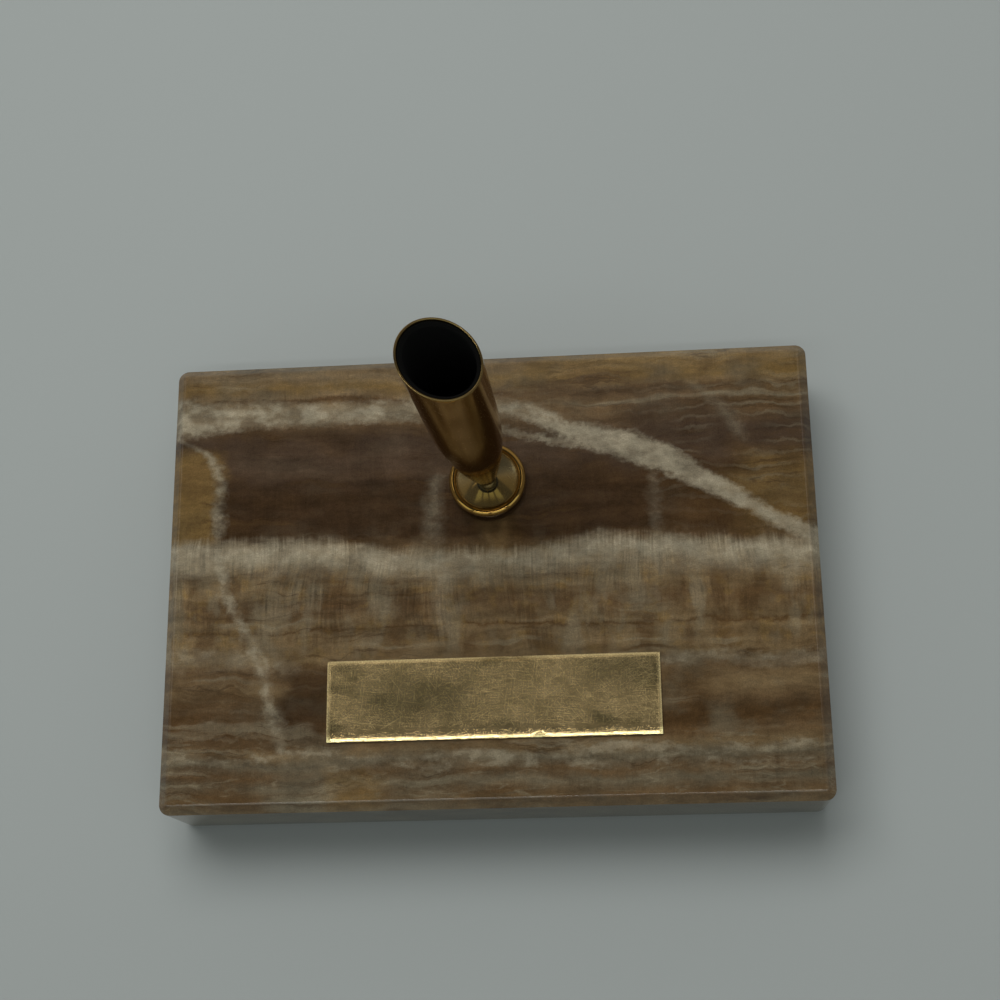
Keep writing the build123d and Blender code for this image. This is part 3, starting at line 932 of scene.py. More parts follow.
# %% Veins
# Along, middle, half width, in millimetres, then softness, strength and how far the vein is broken up
cross_veins = {
    "back sheet": ([
        (-77, 40.5, 4.8), (-72, 40.6, 3.8), (-64, 40.6, 2.6), (-50, 40.8, 2.2), (-35, 40.6, 1.8),
        (-20, 41, 1.8), (-5, 41, 1.6), (5, 40.4, 1.3), (14, 38.4, 0.6), (20, 36.5, 0), (77, 36, 0),
    ], 2.2, 0.9, 0.6),
    "slanting vein": ([
        (-77, 39, 0), (2, 39.4, 0), (10, 37.8, 0.5), (18, 34.6, 1.5), (26, 31.8, 2.8), (34, 29.6, 3.4),
        (42, 26, 3.2), (50, 21.2, 2.6), (60, 15, 1.9), (67, 10.4, 1.5), (77, 5.4, 2.2),
    ], 1.5, 0.9, 0.35),
    "side branch": ([
        (-77, 36, 0), (0, 35.6, 0), (5, 34.6, 0.5), (12, 32.6, 0.6), (19, 31.2, 0.9), (25, 30.8, 0.5),
        (30, 30.6, 0), (77, 31, 0),
    ], 1, 0.6, 0.5),
    "front lace": ([
        (-77, -40.4, 0.9), (-68, -41.4, 0.9), (-60, -42.6, 0.4), (-45, -41, 0.5), (-22, -42.6, 0.3),
        (-4, -42, 0.8), (10, -42.8, 0.7), (30, -41.2, 0.8), (48, -42.2, 0.7), (77, -41, 0.5),
    ], 1, 0.5, 0.8),
    "lower lace": ([
        (-77, -45, 0.2), (-40, -44.4, 0.2), (-8, -44.6, 0.6), (8, -43.8, 0.9), (26, -44.8, 0.6),
        (44, -44, 0.7), (60, -45.4, 0.4), (77, -44.6, 0.5),
    ], 0.9, 0.4, 0.9),
    "left haze": ([
        (-77, -18.6, 1.2), (-60, -19, 1.3), (-50, -20.4, 1), (-42, -21, 0), (77, -21, 0),
    ], 2.4, 0.45, 0.6),
    "right haze": ([
        (-77, -22, 0), (36, -22, 0), (42, -21.6, 1), (50, -20.8, 0.8), (62, -22.4, 1), (77, -21.6, 0.9),
    ], 1.6, 0.45, 0.5),
}
long_veins = {
    "left crack": ([
        (-58, -44, 0), (-46, -46.5, 0), (-42, -47.4, 0.3), (-37, -48.4, 0.9), (-33, -49.6, 1.4),
        (-28, -51.4, 0.6), (-19, -53.8, 1.2), (-12, -57.4, 0.7), (-5, -61.4, 0.9), (6, -63.8, 0.8),
        (17, -64.5, 0.8), (27, -65, 0.9), (31, -67.5, 0.7), (34, -72, 0.6), (38, -77, 0), (58, -77, 0),
    ], 1.6, 0.66, 0.7),
    "middle crack": ([
        (-58, -11, 0), (-18, -11, 0), (-8, -11.2, 0.7), (4, -12, 1), (14, -13.2, 1.4), (22, -12.4, 0.8),
        (26, -12, 0), (58, -12, 0),
    ], 2.6, 0.3, 0.5),
    "right crack": ([
        (-58, 38, 0), (-10, 38.2, 0), (-4, 38.4, 0.5), (4, 38.6, 0.6), (14, 38.8, 0.7), (21, 38.6, 0.4),
        (25, 38.4, 0), (58, 38, 0),
    ], 1.8, 0.22, 0.4),
    "back haze": ([
        (-58, 60, 0), (28, 61, 0), (33, 59, 0.8), (38, 56, 1), (43, 51, 0.7), (47, 47, 0), (58, 46, 0),
    ], 2.6, 0.22, 0.4),
}
vein_inner_softness = 0.6
vein_taper = 0.4


def stone_vein(tree, along, across, fray, patchy, vein):
    """Mask of one vein: within half its width of its middle line, frayed, and faint where broken."""
    points, softness, strength, broken = vein
    middle = drawn_line(tree, along, [(place, value) for place, value, half in points], vein_span)
    half = drawn_line(tree, along, [(place, half) for place, value, half in points], width_span)
    inside = number(tree, "SUBTRACT", total(tree, half, fray), apart(tree, across, middle))
    mask = ease(tree, inside, -softness, softness * vein_inner_softness)
    kept = kept_share(tree, patchy, strength, broken)
    return times(tree, mask, ease(tree, half, 0, vein_taper), kept)


# %% [markdown]
# Between the veins lie clouds of other colours: an amber window at the left edge, darker pools
# beside the plate, paler pools along the front. Each is a box whose edges wander with the noise.

# %% Clouded pools
# Left, right, front, back, softness, in millimetres, then colour and strength
stone_pools = {
    "amber window": (-84, -65, 9, 32, 2.2, "honey", 0.85),
    "brown shoulder": (4, 70, 37, 46, 3, "brown", 0.7),
    "plum cloud": (34, 60, 28, 42, 4, "plum", 0.6),
    "russet wing": (38, 60, 8, 24, 5, "russet", 0.7),
    "honey wing": (58, 84, 8, 27, 4, "honey", 0.6),
    "dark heart": (10, 44, 9, 24, 5, "umber", 0.6),
    "left pool": (-49, -36, -37, -22, 2.6, "umber", 0.8),
    "right pool": (38, 50, -38, -24, 3.5, "russet", 0.7),
    "pale pool": (49.5, 55, -39, -32, 2.2, "ash", 0.7),
    "front pale pool": (-50, -38, -56, -45, 2.4, "ash", 0.7),
    "front honey pool": (-38, -25, -54, -44, 2.5, "honey", 0.45),
    "front grey pool": (-23, -9, -60, -40, 2, "ash", 0.4),
    "front brown pool": (-73, -55, -53, -45.5, 2.5, "russet", 0.5),
    "back honey pool": (8, 84, 46.5, 60, 3, "honey", 0.7),
    "corner brown": (-84, -56, -37, -30.5, 2.5, "russet", 0.8),
    "brown feather": (-46, -34, -9, 4, 3, "russet", 0.6),
}


def stone_pool(tree, colour, x, y, pool):
    """Colour with one pool laid over it, inside the pool's soft box."""
    *box, name, strength = pool
    return blend(tree, times(tree, boxed(tree, x, y, *box), strength), colour, stone[name])


# %% [markdown]
# All of it is looked up at a bent place: the bands dip into the block, sway over its length and
# ripple finely, and fibres lean this way and that. Nodes for these fields are wired once, and the
# steps that follow pick what they need.

# %% Bent places in the stone
band_dip = 0.3
crack_dip = 0.12
pool_wander = 0.5
stone_top = slab_high[2] / mm
fibre_waves = (2.0, 0.12, 0.3)
# Waves per millimetre along x, y and z, detail, reach in millimetres
stone_swings = {
    "sway": ((0.03, 0.04, 0.03), 2, 5),
    "ripple": ((0.2, 0.45, 0.3), 5, 3),
    "wander": ((0.1, 0.13, 0.1), 5, 14),
    "fray": ((0.8, 0.9, 0.8), 5, 2.6),
    "lean": ((0.04, 0.04, 0.04), 2, 6),
    "bend": ((0.09, 0.1, 0.08), 4, 6),
}
stone_patches = ((0.2, 0.28, 0.2), 5, 0.4, 0.62)


def stone_fields(tree):
    """Where a point lies in the bent stone, and the random fields that fray it and break it up."""
    place = millimetres(tree)
    x, y, z = split(tree, place)
    drift = {name: swing(tree, place, *values) for name, values in stone_swings.items()}
    below = number(tree, "SUBTRACT", z, stone_top)
    dipped_x = scaled(tree, below, crack_dip, x)
    dipped_y = scaled(tree, below, band_dip, y)
    at = SimpleNamespace(place=place, x=x, y=y, fray=drift["fray"])
    at.patchy = patches(tree, place, *stone_patches)
    at.leaning = joined(tree, total(tree, x, drift["lean"]), y, z)
    at.fibre = noise(tree, at.leaning, fibre_waves, 5)
    at.wavy_x = total(tree, dipped_x, drift["ripple"])
    at.wavy_y = total(tree, dipped_y, drift["ripple"])
    at.depth = total(tree, at.wavy_y, drift["sway"], number(tree, "SUBTRACT", at.fibre, 0.5))
    at.pool_x = total(tree, dipped_x, drift["wander"])
    at.pool_y = scaled(tree, drift["wander"], pool_wander, at.wavy_y)
    at.bent = total(tree, dipped_y, drift["sway"], drift["bend"])
    at.layered = joined(tree, x, at.bent, z)
    return at


# %% [markdown]
# The ground comes first: bands, then pools, then clouds that make one stretch greyer and the next
# warmer. In the middle of the slab, crystals show as feathers, pale and brown strokes that stand
# across the bands.

# %% Ground of the stone
dark_stone = (9, 36)
grey_cloud = 0.5
grey_cloud_in_dark = 0.12
warm_cloud = 0.35
feather_zone = (-20, 7, 6)
pale_feather = 0.45
dark_feather = 0.6
honey_zone = (-20, 6, 5)
honey_blotch = 0.5


def clouded_ground(tree, at):
    """Bands with their pools, then ash and russet from the two ends of one noise."""
    colour = band_colour(tree, at.depth)
    for pool in stone_pools.values():
        colour = stone_pool(tree, colour, at.pool_x, at.pool_y, pool)
    warmth = noise(tree, at.place, (0.08, 0.13, 0.1), 5)
    dark = between(tree, at.depth, *dark_stone, 4)
    greyed = scaled(tree, dark, grey_cloud_in_dark - grey_cloud, grey_cloud)
    colour = blend(tree, times(tree, ease(tree, warmth, 0.5, 0.7), greyed), colour, stone["ash"])
    return blend(tree, times(tree, ease(tree, warmth, 0.5, 0.32), warm_cloud), colour, stone["russet"])


def feathered(tree, colour, at):
    """Honey blotches, then feathers from noise drawn out across the bands."""
    blotch = patches(tree, at.place, (0.3, 0.34, 0.3), 5, 0.5, 0.66)
    blotch = times(tree, blotch, between(tree, at.y, *honey_zone), honey_blotch)
    colour = blend(tree, blotch, colour, stone["honey"])
    feather = noise(tree, at.leaning, (0.17, 0.08, 0.15), 7)
    shown = between(tree, at.y, *feather_zone)
    pale = times(tree, ease(tree, feather, 0.52, 0.66), pale_feather, shown)
    dark = times(tree, ease(tree, feather, 0.5, 0.38), dark_feather, shown)
    return blend(tree, dark, blend(tree, pale, colour, stone["cream"]), stone["russet"])


# %% [markdown]
# Laminae, the thinnest layers, follow the bent bands. Growth lines run beside them, parallel and
# scalloped, where the stone stopped growing for a while; they show at the front and the right back.
# Along the front lies a lace of thin pale lines.

# %% Layers of the stone
layer_waves = (0.014, 0.4, 0.03)
crossing_waves = (0.016, 0.2, 0.03)
presence_waves = (0.05, 0.09, 0.05)
pale_layer = 0.5
brown_layer = 0.6
dark_thread = 0.5
growth_spacing = 2.9
growth_strength = 0.28
growth_elsewhere = 0.1
lace_zone = (-53, -38, 2)
lace_width = 0.03
lace_strength = 0.5


def laminae(tree, colour, layered, quiet):
    """Thin layers along the bands, from noise drawn out so far along x that it reads as wavy lines.

    The noise shades the stone, its peaks are pale lines and its troughs brown ones, and where a
    second noise passes a half runs a dark thread. Where quiet is 1, the pale lines are left out.
    """
    layers = noise(tree, layered, layer_waves, 6)
    crossing = number(tree, "ABSOLUTE", swing(tree, layered, crossing_waves, 5, 1))
    presence = patches(tree, layered, presence_waves, 3, 0.44, 0.62)
    loud = scaled(tree, quiet, -pale_layer, pale_layer)
    pale = times(tree, ease(tree, layers, 0.55, 0.66), presence, loud)
    brown = times(tree, ease(tree, layers, 0.45, 0.36), presence, brown_layer)
    thread = times(tree, ease(tree, crossing, 0.012, 0.003), presence, dark_thread)
    colour = vary(tree, colour, layers, 1.1)
    colour = blend(tree, brown, blend(tree, pale, colour, stone["cream"]), stone["russet"])
    return blend(tree, thread, colour, stone["umber"])


def growth_lines(tree, colour, at, shown):
    """Parallel wavy lines: crests of a sine across the bent bands are pale, troughs are brown.

    A coarse noise lets them come and go, a fine one makes them scalloped, and shown is their strength.
    """
    scalloped = total(tree, at.bent, swing(tree, at.place, (0.3, 0.35, 0.3), 4, 3))
    wave = number(tree, "SINE", times(tree, scalloped, 2 * pi / growth_spacing))
    presence = times(tree, patches(tree, at.place, presence_waves, 4, 0.42, 0.66), shown)
    colour = blend(tree, times(tree, ease(tree, wave, 0.3, 1), presence), colour, stone["cream"])
    return blend(tree, times(tree, ease(tree, wave, -0.4, -1), presence), colour, stone["russet"])


def growth_shown(tree, at, quiet):
    """Strength of the growth lines: most at the front and the right back, faint in other pale stone."""
    at_right = times(tree, ease(tree, at.x, 24, 48), ease(tree, at.y, 6, 14))
    most = number(tree, "MAXIMUM", at_right, ease(tree, at.y, -34, -42))
    rest = scaled(tree, quiet, -growth_elsewhere, growth_elsewhere)
    return scaled(tree, most, growth_strength, rest)


def front_lace(tree, colour, at):
    """Thin pale lines where a noise passes a half, broken up and kept to the front."""
    line = ease(tree, apart(tree, noise(tree, at.place, (0.07, 0.3, 0.1), 4), 0.5), lace_width, 0)
    mask = times(tree, line, between(tree, at.y, *lace_zone), at.patchy, lace_strength)
    return blend(tree, mask, colour, stone["cream"])


# %% [markdown]
# The white sheet and the veins lie over all of that. Then three noises, coarse to fine, keep any
# stretch of stone from being one flat colour, and the polish is a clear, slightly uneven gloss.

# %% The stone's material
fibre_zone = (-15, 8, 7)
fibre_contrast = 1.1
fibre_contrast_elsewhere = 0.4
# Waves per millimetre along x, y and z, detail, contrast
stone_grain = [((0.12, 0.2, 0.16), 6, 1.2), ((0.7, 1.1, 0.8), 4, 0.6), ((3, 3, 3), 4, 0.9)]
stone_gloss = 0.08
stone_gloss_change = 0.06
stone_lapping = 0.1 * mm


def veined(tree, colour, at):
    """The white sheet, the fibres that shade it, and the veins across and along the slab."""
    colour = blend(tree, sheet_mask(tree, at.x, at.wavy_y, at.fibre, at.patchy), colour, stone["milk"])
    fibrous = scaled(tree, between(tree, at.y, *fibre_zone), fibre_contrast, fibre_contrast_elsewhere)
    fibrous = times(tree, fibrous, patches(tree, at.place, (0.12, 0.12, 0.1), 3, 0.3, 0.65))
    colour = shade(tree, colour, scaled(tree, number(tree, "SUBTRACT", at.fibre, 0.5), fibrous, 1))
    for veins, along, across in ((cross_veins, at.x, at.wavy_y), (long_veins, at.y, at.wavy_x)):
        for vein in veins.values():
            mask = stone_vein(tree, along, across, at.fray, at.patchy, vein)
            colour = blend(tree, mask, colour, stone["milk"])
    return colour


def onyx_material():
    """Ground, feathers, layers and veins in depth, under a polish."""
    material, tree, shader = new_material("onyx")
    at = stone_fields(tree)
    quiet = between(tree, at.depth, *dark_stone, 3)
    colour = feathered(tree, clouded_ground(tree, at), at)
    colour = laminae(tree, colour, at.layered, quiet)
    colour = growth_lines(tree, colour, at, growth_shown(tree, at, quiet))
    colour = veined(tree, front_lace(tree, colour, at), at)
    for waves, detail, contrast in stone_grain:
        colour = vary(tree, colour, noise(tree, at.place, waves, detail), contrast)
    normal = raised(tree, noise(tree, at.place, (5, 5, 5), 2), 0.04, stone_lapping)
    polish = effect(tree, clouds, Place=at.place, Size=14)
    polish = scaled(tree, polish, stone_gloss_change, stone_gloss)
    feed(tree, shader, {"Base Color": colour, "Roughness": polish, "Normal": normal, "IOR": 1.5})
    return material


dress(onyx_material(), onyx_slab)

# %% [markdown]
# ## Brass, polished and worn
# The dish and the funnel were polished and lacquered; they still mirror the room, with a brown bloom
# where hands and time have dulled them and fine pits. The dish's bead is painted browner, a painted
# shade that stands in for the darker room it mirrors, and the ball is painted dark, a painted shade
# for the dish's throat. The funnel stays golden even where it is seen at a flat angle. All of it is
# one metal, so one function makes the four finishes, with values for colour, gloss, bloom, scratches and pits.

# %% Brass
pale_brass = (screen_colour(202, 194, 156), screen_colour(172, 158, 112))
brown_brass = (screen_colour(142, 119, 76), screen_colour(112, 90, 53))
# Painted shade: brass darkened for the ball, neck and collar, which sit in the dish's shaded throat
throat_shade_brass = (screen_colour(104, 88, 56), screen_colour(74, 62, 40))
pit_brown = screen_colour(64, 50, 31)
# Painted shade on the dish's bead, for the darker room it mirrors
bead_painted_shade = screen_colour(152, 118, 60)
plain_edge = (1, 1, 1, 1)
golden_edge = (0.76, 0.65, 0.54, 1)
brass_metallic = 0.96
# What bloom, scratches and fine clouds add to the roughness
bloom_rough, hair_rough, cloud_rough = 0.08, 0.18, 0.03
pit_cover = 0.7
hair_depth = 0.6
brass_relief = 0.05 * mm
dish_middle = tuple(float(part) / mm for part in (*swivel[:2], dish_high[2]))
# Distances from the dish's middle, in millimetres, over which the painted shade on its bead sets in
bead_shade_edges = (float(dish_radius) / mm - 2.6, float(dish_radius) / mm - 1.6)


def painted_bead_shade(tree, colour, place):
    """Painted shade: colour that turns brown with the distance from the dish's middle, over the bead."""
    inputs = {0: place, 1: dish_middle}
    away = add_node(tree, "ShaderNodeVectorMath", inputs, operation="DISTANCE").outputs[1]
    return blend(tree, ease(tree, away, *bead_shade_edges), colour, bead_painted_shade)


def brass_material(name, colours, gloss, bloom, scratch, pitting, edge=plain_edge, bead=False):
    """Metal whose bright colour dulls by clouds, with scratches that break its gloss and dark pits."""
    material, tree, shader = new_material(name)
    place = millimetres(tree)
    dulled = times(tree, effect(tree, clouds, Place=place, Size=9, Contrast=2.4), bloom)
    fine_cloud = effect(tree, clouds, Place=place, Size=1.1, Contrast=2)
    hairs = effect(tree, scratches, Place=place, Length=4, Width=0.3, Amount=scratch)
    specks = effect(tree, pits, Place=place, Spacing=0.55, Amount=pitting)
    colour = blend(tree, dulled, *colours)
    if bead:
        colour = painted_bead_shade(tree, colour, place)
    colour = blend(tree, times(tree, specks, pit_cover), colour, pit_brown)
    rough = scaled(tree, hairs, hair_rough, scaled(tree, dulled, bloom_rough, gloss))
    rough = scaled(tree, fine_cloud, cloud_rough, rough)
    height = scaled(tree, hairs, -hair_depth, times(tree, specks, -1))
    normal = raised(tree, height, 0.12, brass_relief)
    feed(tree, shader, {"Base Color": colour, "Roughness": rough, "Normal": normal})
    feed(tree, shader, {"Metallic": brass_metallic, "Specular Tint": edge})
    return material


# The dish's bead carries the painted shade
dress(brass_material("polished brass", pale_brass, 0.03, 0.5, 0.1, 0.06, bead=True), swivel_dish)
dress(brass_material("bloomed brass", brown_brass, 0.1, 0.8, 0.3, 0.12, golden_edge), funnel_shell)
turned_brass = brass_material("turned brass", pale_brass, 0.2, 0.4, 0.2, 0.1)
# The ball is painted dark as shade in the dish's throat
dress(brass_material("tarnished brass", throat_shade_brass, 0.3, 0.8, 0.2, 0.2), swivel_ball)
dress(turned_brass, *packed("tip_plug", "socket_barrel", "tension_plug"))

# %% [markdown]
# The plate is the same metal under years of wiping: a brushed grain along its length, short fine
# scratches in every direction, a green-black tarnish in clouds, and a painted highlight along its
# edges. The scratches scatter light so widely that part of the metal answers like a matt surface,
# which a lower metallic value gives.

# %% Wear of the plate
plate_pale = screen_colour(226, 196, 140)
plate_olive = screen_colour(184, 160, 109)
plate_tarnish = screen_colour(68, 68, 42)
# Pale colour of the scratches, and of the painted highlight along the plate's edges
plate_scratch_and_highlight = screen_colour(238, 214, 156)
# Width in millimetres of the painted edge highlight
plate_highlight_margin = 0.7
# Left, right, front, back, softness, in millimetres, then strength
plate_clouds = [(-28, -6, -35, -24, 5, 0.8), (22, 40, -27.5, -20, 4, 0.75)]


def plate_tarnished(tree, place, x, y, brushed):
    """Mask of the tarnish: clouds of noise, two chosen ones, and both broken up by the brushing."""
    tarnish = patches(tree, place, (0.07, 0.16, 0.1), 5, 0.5, 0.66)
    wander = swing(tree, place, (0.12, 0.2, 0.1), 4, 12)
    x, y = total(tree, x, wander), total(tree, y, wander)
    for *box, strength in plate_clouds:
        cloud = times(tree, boxed(tree, x, y, *box), strength)
        tarnish = number(tree, "MAXIMUM", tarnish, cloud)
    return times(tree, tarnish, scaled(tree, brushed, 1, 0.1))


def plate_edge_highlight(tree, x, y):
    """Mask of a narrow margin along all four edges, for a painted highlight."""
    margins = []
    for value, low, high in zip((x, y), plate_low / mm, plate_high / mm):
        half = float(high - low) / 2
        away = apart(tree, value, float(low + high) / 2)
        margins.append(ease(tree, away, half - plate_highlight_margin, half))
    return number(tree, "MAXIMUM", *margins)


def plate_smoothed(tree, rough, y):
    """Roughness made smaller on the front roll, which wiping has kept smooth."""
    front, roll = float(plate_low[1]) / mm, plate_front_roll / mm
    rolled = ease(tree, y, front + 1.1 * roll, front + 0.6 * roll)
    return times(tree, rough, scaled(tree, rolled, -0.6, 1))


# %% Worn plate
second_scratches = (31, 47, 0)
plate_metallic = 0.8
plate_relief = 0.04 * mm
brushed_contrast = 1.9
grain_contrast = 2.2
dark_hair = 0.4
pale_hair = 0.3
plate_gloss = 0.16
brushed_rough = 0.16
scratched_rough = 0.12


def plate_material():
    """Brushed metal with pale and dark scratches, tarnish in clouds and a painted highlight along the edges."""
    material, tree, shader = new_material("worn brass")
    place = millimetres(tree)
    x, y = split(tree, place)[:2]
    brushed = noise(tree, place, (0.3, 5, 1), 4)
    mottle = effect(tree, clouds, Place=place, Size=5, Contrast=1.6)
    long_hairs = effect(tree, scratches, Place=place, Length=9, Width=0.08, Amount=0.48)
    short_hairs = effect(tree, scratches, Place=place, Length=2.4, Width=0.08, Amount=0.46)
    hairs = number(tree, "MAXIMUM", long_hairs, short_hairs)
    aside = add_node(tree, "ShaderNodeVectorMath", {0: place, 1: second_scratches}, operation="ADD")
    dark_hairs = effect(tree, scratches, Place=aside.outputs[0], Length=5, Width=0.09, Amount=0.5)
    tarnish = plate_tarnished(tree, place, x, y, brushed)
    colour = blend(tree, tarnish, blend(tree, mottle, plate_pale, plate_olive), plate_tarnish)
    colour = vary(tree, colour, brushed, brushed_contrast)
    colour = vary(tree, colour, noise(tree, place, (3, 6, 2), 3), grain_contrast)
    colour = blend(tree, times(tree, dark_hairs, dark_hair), colour, plate_tarnish)
    colour = blend(tree, times(tree, hairs, pale_hair), colour, plate_scratch_and_highlight)
    # Painted highlight: a bright margin along all four edges of the plate
    colour = blend(tree, plate_edge_highlight(tree, x, y), colour, plate_scratch_and_highlight)
    rough = scaled(tree, brushed, brushed_rough, plate_gloss)
    rough = scaled(tree, hairs, scratched_rough, rough)
    normal = raised(tree, scaled(tree, hairs, -0.4, brushed), 0.3, plate_relief)
    feed(tree, shader, {"Base Color": colour, "Roughness": plate_smoothed(tree, rough, y)})
    feed(tree, shader, {"Normal": normal, "Metallic": plate_metallic})
    return material


dress(plate_material(), name_plate)

# %% [markdown]
# ## The hidden and the plain pieces
# Liner, cup, spring, washers, nut and glue hardly show, but they are there when the stand is taken
# apart. Each still gets the unevenness of its real material: a base colour, a second colour laid
# over it in clouds, and a bump, all from one function. The liner drinks light, so its mirror is weak.

# %% Plain finishes
# Base colour, cloud colour, cloud size, roughness, grain waves, grain height in millimetres,
# metallic, mirror
plain_finishes = {
    "black plastic": ((5, 5, 4), (8, 7, 6), 6, 0.8, (2, 2, 0.4), 0.03, 0, 0.15),
    "white nylon": ((206, 202, 190), (190, 184, 168), 3, 0.4, (4, 4, 4), 0.02, 0, 0.5),
    "spring steel": ((112, 110, 108), (86, 82, 78), 1.5, 0.25, (3, 3, 8), 0.02, 1, 0.5),
    "plated steel": ((176, 174, 168), (140, 136, 126), 2.5, 0.25, (3, 3, 3), 0.02, 1, 0.5),
    "red fibre": ((112, 40, 28), (88, 32, 24), 1.2, 0.75, (6, 1, 6), 0.05, 0, 0.5),
    "adhesive film": ((150, 132, 92), (126, 108, 72), 4, 0.5, (1, 1, 1), 0.02, 0, 0.5),
}
plain_pieces = {
    "black plastic": [funnel_liner],
    "white nylon": packed("ball_cup"),
    "spring steel": packed("friction_spring", "lock_washer"),
    "plated steel": packed("clamp_washer", "clamp_nut"),
    "red fibre": packed("fibre_washer"),
    "adhesive film": packed("plate_adhesive"),
}


def plain_material(name, base, cloudy, cloud_size, rough, waves, height, metallic, mirror):
    """Base colour with a second one in clouds, an uneven gloss and a fine bump."""
    material, tree, shader = new_material(name)
    place = millimetres(tree)
    cloud = effect(tree, clouds, Place=place, Size=cloud_size, Contrast=2)
    grain = noise(tree, place, waves, 3)
    colour = blend(tree, cloud, screen_colour(*base), screen_colour(*cloudy))
    normal = raised(tree, grain, 0.5, height * mm)
    feed(tree, shader, {"Base Color": colour, "Roughness": scaled(tree, grain, 0.2, rough)})
    feed(tree, shader, {"Normal": normal, "Metallic": metallic, "Specular IOR Level": mirror})
    return material


for finish, values in plain_finishes.items():
    dress(plain_material(finish, *values), *plain_pieces[finish])

# %% [markdown]
# ## Felt
# Felt is matted wool: no weave, but a tangle of hairs that catches light softly and looks lighter at
# a grazing angle. Tangled noise at two sizes gives the mat, a sheen on the shader gives the halo.

# %% Felt material
felt_green = screen_colour(42, 66, 44)
felt_pale = screen_colour(74, 98, 70)


def felt_material():
    """Matted wool: hairs from stretched noise over a fine mat, paler where they stand proud."""
    material, tree, shader = new_material("green felt")
    place = millimetres(tree)
    hairs = effect(tree, scratches, Place=place, Length=1.6, Width=0.16, Amount=1.3)
    mat = noise(tree, place, (2.4, 2.4, 2.4), 5)
    proud = number(tree, "MAXIMUM", hairs, ease(tree, mat, 0.4, 0.75))
    colour = blend(tree, proud, felt_green, felt_pale)
    normal = raised(tree, scaled(tree, hairs, 0.4, mat), 0.9, 0.25 * mm)
    feed(tree, shader, {"Base Color": colour, "Roughness": 0.95, "Normal": normal})
    feed(tree, shader, {"Sheen Weight": 0.5, "Sheen Roughness": 0.5})
    return material


dress(felt_material(), felt_pad)

# %% [markdown]
# ## Floor and light
# A plain pale floor shows the stand's shadow and nothing else. Polished brass is only as good as
# what it mirrors, so the room matters as much as the lamps: dim overhead, a barred window behind the
# viewer, a pale wall at the back and a bright pane on each side. The world does that by direction,
# and mirrors see its window brighter than the stand is lit by it. A broad lamp overhead gives the
# stand its light, and a narrow strip puts a bright line along rolled edges and the dish's bead.

# %% Floor
floor_half = 3.0
floor_grey = screen_colour(152, 157, 155)
floor_rough = 0.9


def floor_piece():
    """Flat square under the stand: two stations each way."""
    edge = np.array([-floor_half, floor_half])
    gx, gy = np.meshgrid(edge, edge)
    mesh = bpy.data.meshes.new("floor")
    points = np.dstack([gx, gy, np.zeros_like(gx)]).reshape(-1, 3)
    mesh.from_pydata(points.tolist(), [], [(0, 1, 3, 2)])
    piece = bpy.data.objects.new("floor", mesh)
    bpy.context.scene.collection.objects.link(piece)
    return piece


floor = floor_piece()
floor_material, floor_tree, floor_shader = new_material("pale floor")
feed(floor_tree, floor_shader, {"Base Color": floor_grey, "Roughness": floor_rough})
dress(floor_material, floor)

# %% Room
room_level = 0.2
ceiling_level = 0.03
window_level = 0.4
window_mirrored = 1.2
wall_level = 0.5
pane_level = 1.5
room_grey = (1, 1, 0.96, 1)
window_grey = (0.86, 1, 0.98, 1)
window_bars = 9
# Parts of the room by the x, y and z of a direction: low, high, softness, or the two ends of a ramp
ceiling_x, ceiling_y, ceiling_z = (-0.42, 0.42, 0.03), (-0.42, 0.38, 0.03), (0, 0.1)
window_y, window_z, window_bar = (-0.05, -0.15), (0.45, 0.88, 0.03), (0.9, 0.7)
right_pane, left_pane = (0.3, 0.42, 0.02), (-0.58, -0.44, 0.02)
pane_y, pane_z = (0.16, 0.42, 0.02), (0.5, 0.6)
wall_y, wall_z = (0.48, 0.56), (0.2, 0.85, 0.03)


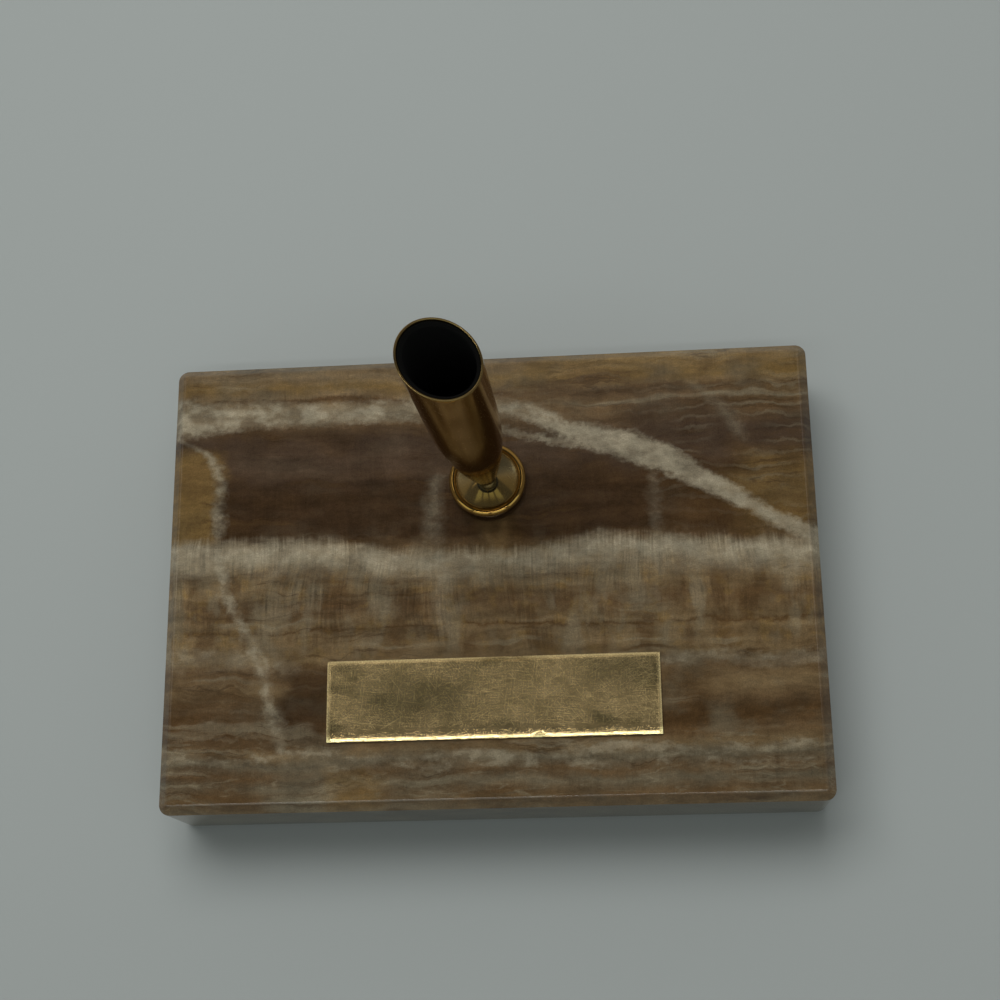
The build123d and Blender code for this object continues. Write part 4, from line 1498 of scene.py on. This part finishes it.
def room_window(tree, x, y, z):
    """Mask of the window: a band behind the viewer, cut by bars at even headings."""
    heading = number(tree, "ARCTAN2", x, times(tree, y, -1))
    bars = number(tree, "COSINE", times(tree, heading, window_bars))
    band = times(tree, ease(tree, y, *window_y), between(tree, z, *window_z))
    return times(tree, band, ease(tree, bars, *window_bar))


def paint_room():
    """World light by direction: dim ceiling and sides, window, back wall and side panes."""
    world = bpy.data.worlds.new("room")
    world.use_nodes = True
    bpy.context.scene.world = world
    tree = world.node_tree
    x, y, z = split(tree, add_node(tree, "ShaderNodeTexCoord").outputs["Generated"])
    ceiling = times(tree, between(tree, y, *ceiling_y), between(tree, x, *ceiling_x))
    ceiling = times(tree, ceiling, ease(tree, z, *ceiling_z))
    window = room_window(tree, x, y, z)
    panes = total(tree, between(tree, x, *right_pane), between(tree, x, *left_pane))
    panes = times(tree, panes, between(tree, y, *pane_y), ease(tree, z, *pane_z))
    wall = times(tree, ease(tree, y, *wall_y), between(tree, z, *wall_z))
    glossy = add_node(tree, "ShaderNodeLightPath").outputs["Is Glossy Ray"]
    glow = scaled(tree, glossy, window_mirrored - window_level, window_level - room_level)
    level = scaled(tree, ceiling, ceiling_level - room_level, room_level)
    level = scaled(tree, wall, wall_level - room_level, level)
    level = scaled(tree, window, glow, level)
    level = scaled(tree, panes, pane_level, level)
    tint = blend(tree, window, room_grey, window_grey)
    feed(tree, tree.nodes["Background"], {"Color": tint, "Strength": level})
    print("room:", len(tree.nodes), "nodes")


paint_room()

# %% Lamps
lamp_aim = Vector((0.0, 0.0, 0.02))


def hang_lamp(name, place, size, power, mirrored):
    """Rectangular lamp aimed at the stand; a lamp that is not mirrored shows in no reflection."""
    data = bpy.data.lights.new(name, "AREA")
    data.shape = "RECTANGLE"
    data.size, data.size_y = size
    data.energy = power
    lamp = bpy.data.objects.new(name, data)
    lamp.location = place
    lamp.rotation_euler = (lamp_aim - Vector(place)).to_track_quat("-Z", "Y").to_euler()
    lamp.visible_glossy = mirrored
    bpy.context.scene.collection.objects.link(lamp)
    print(name, "at", place)


hang_lamp("broad lamp", (-0.15, 0.35, 0.85), (0.7, 0.5), 5.9, False)
hang_lamp("front strip", (0.0, -0.30, 0.75), (0.6, 0.04), 0.7, True)
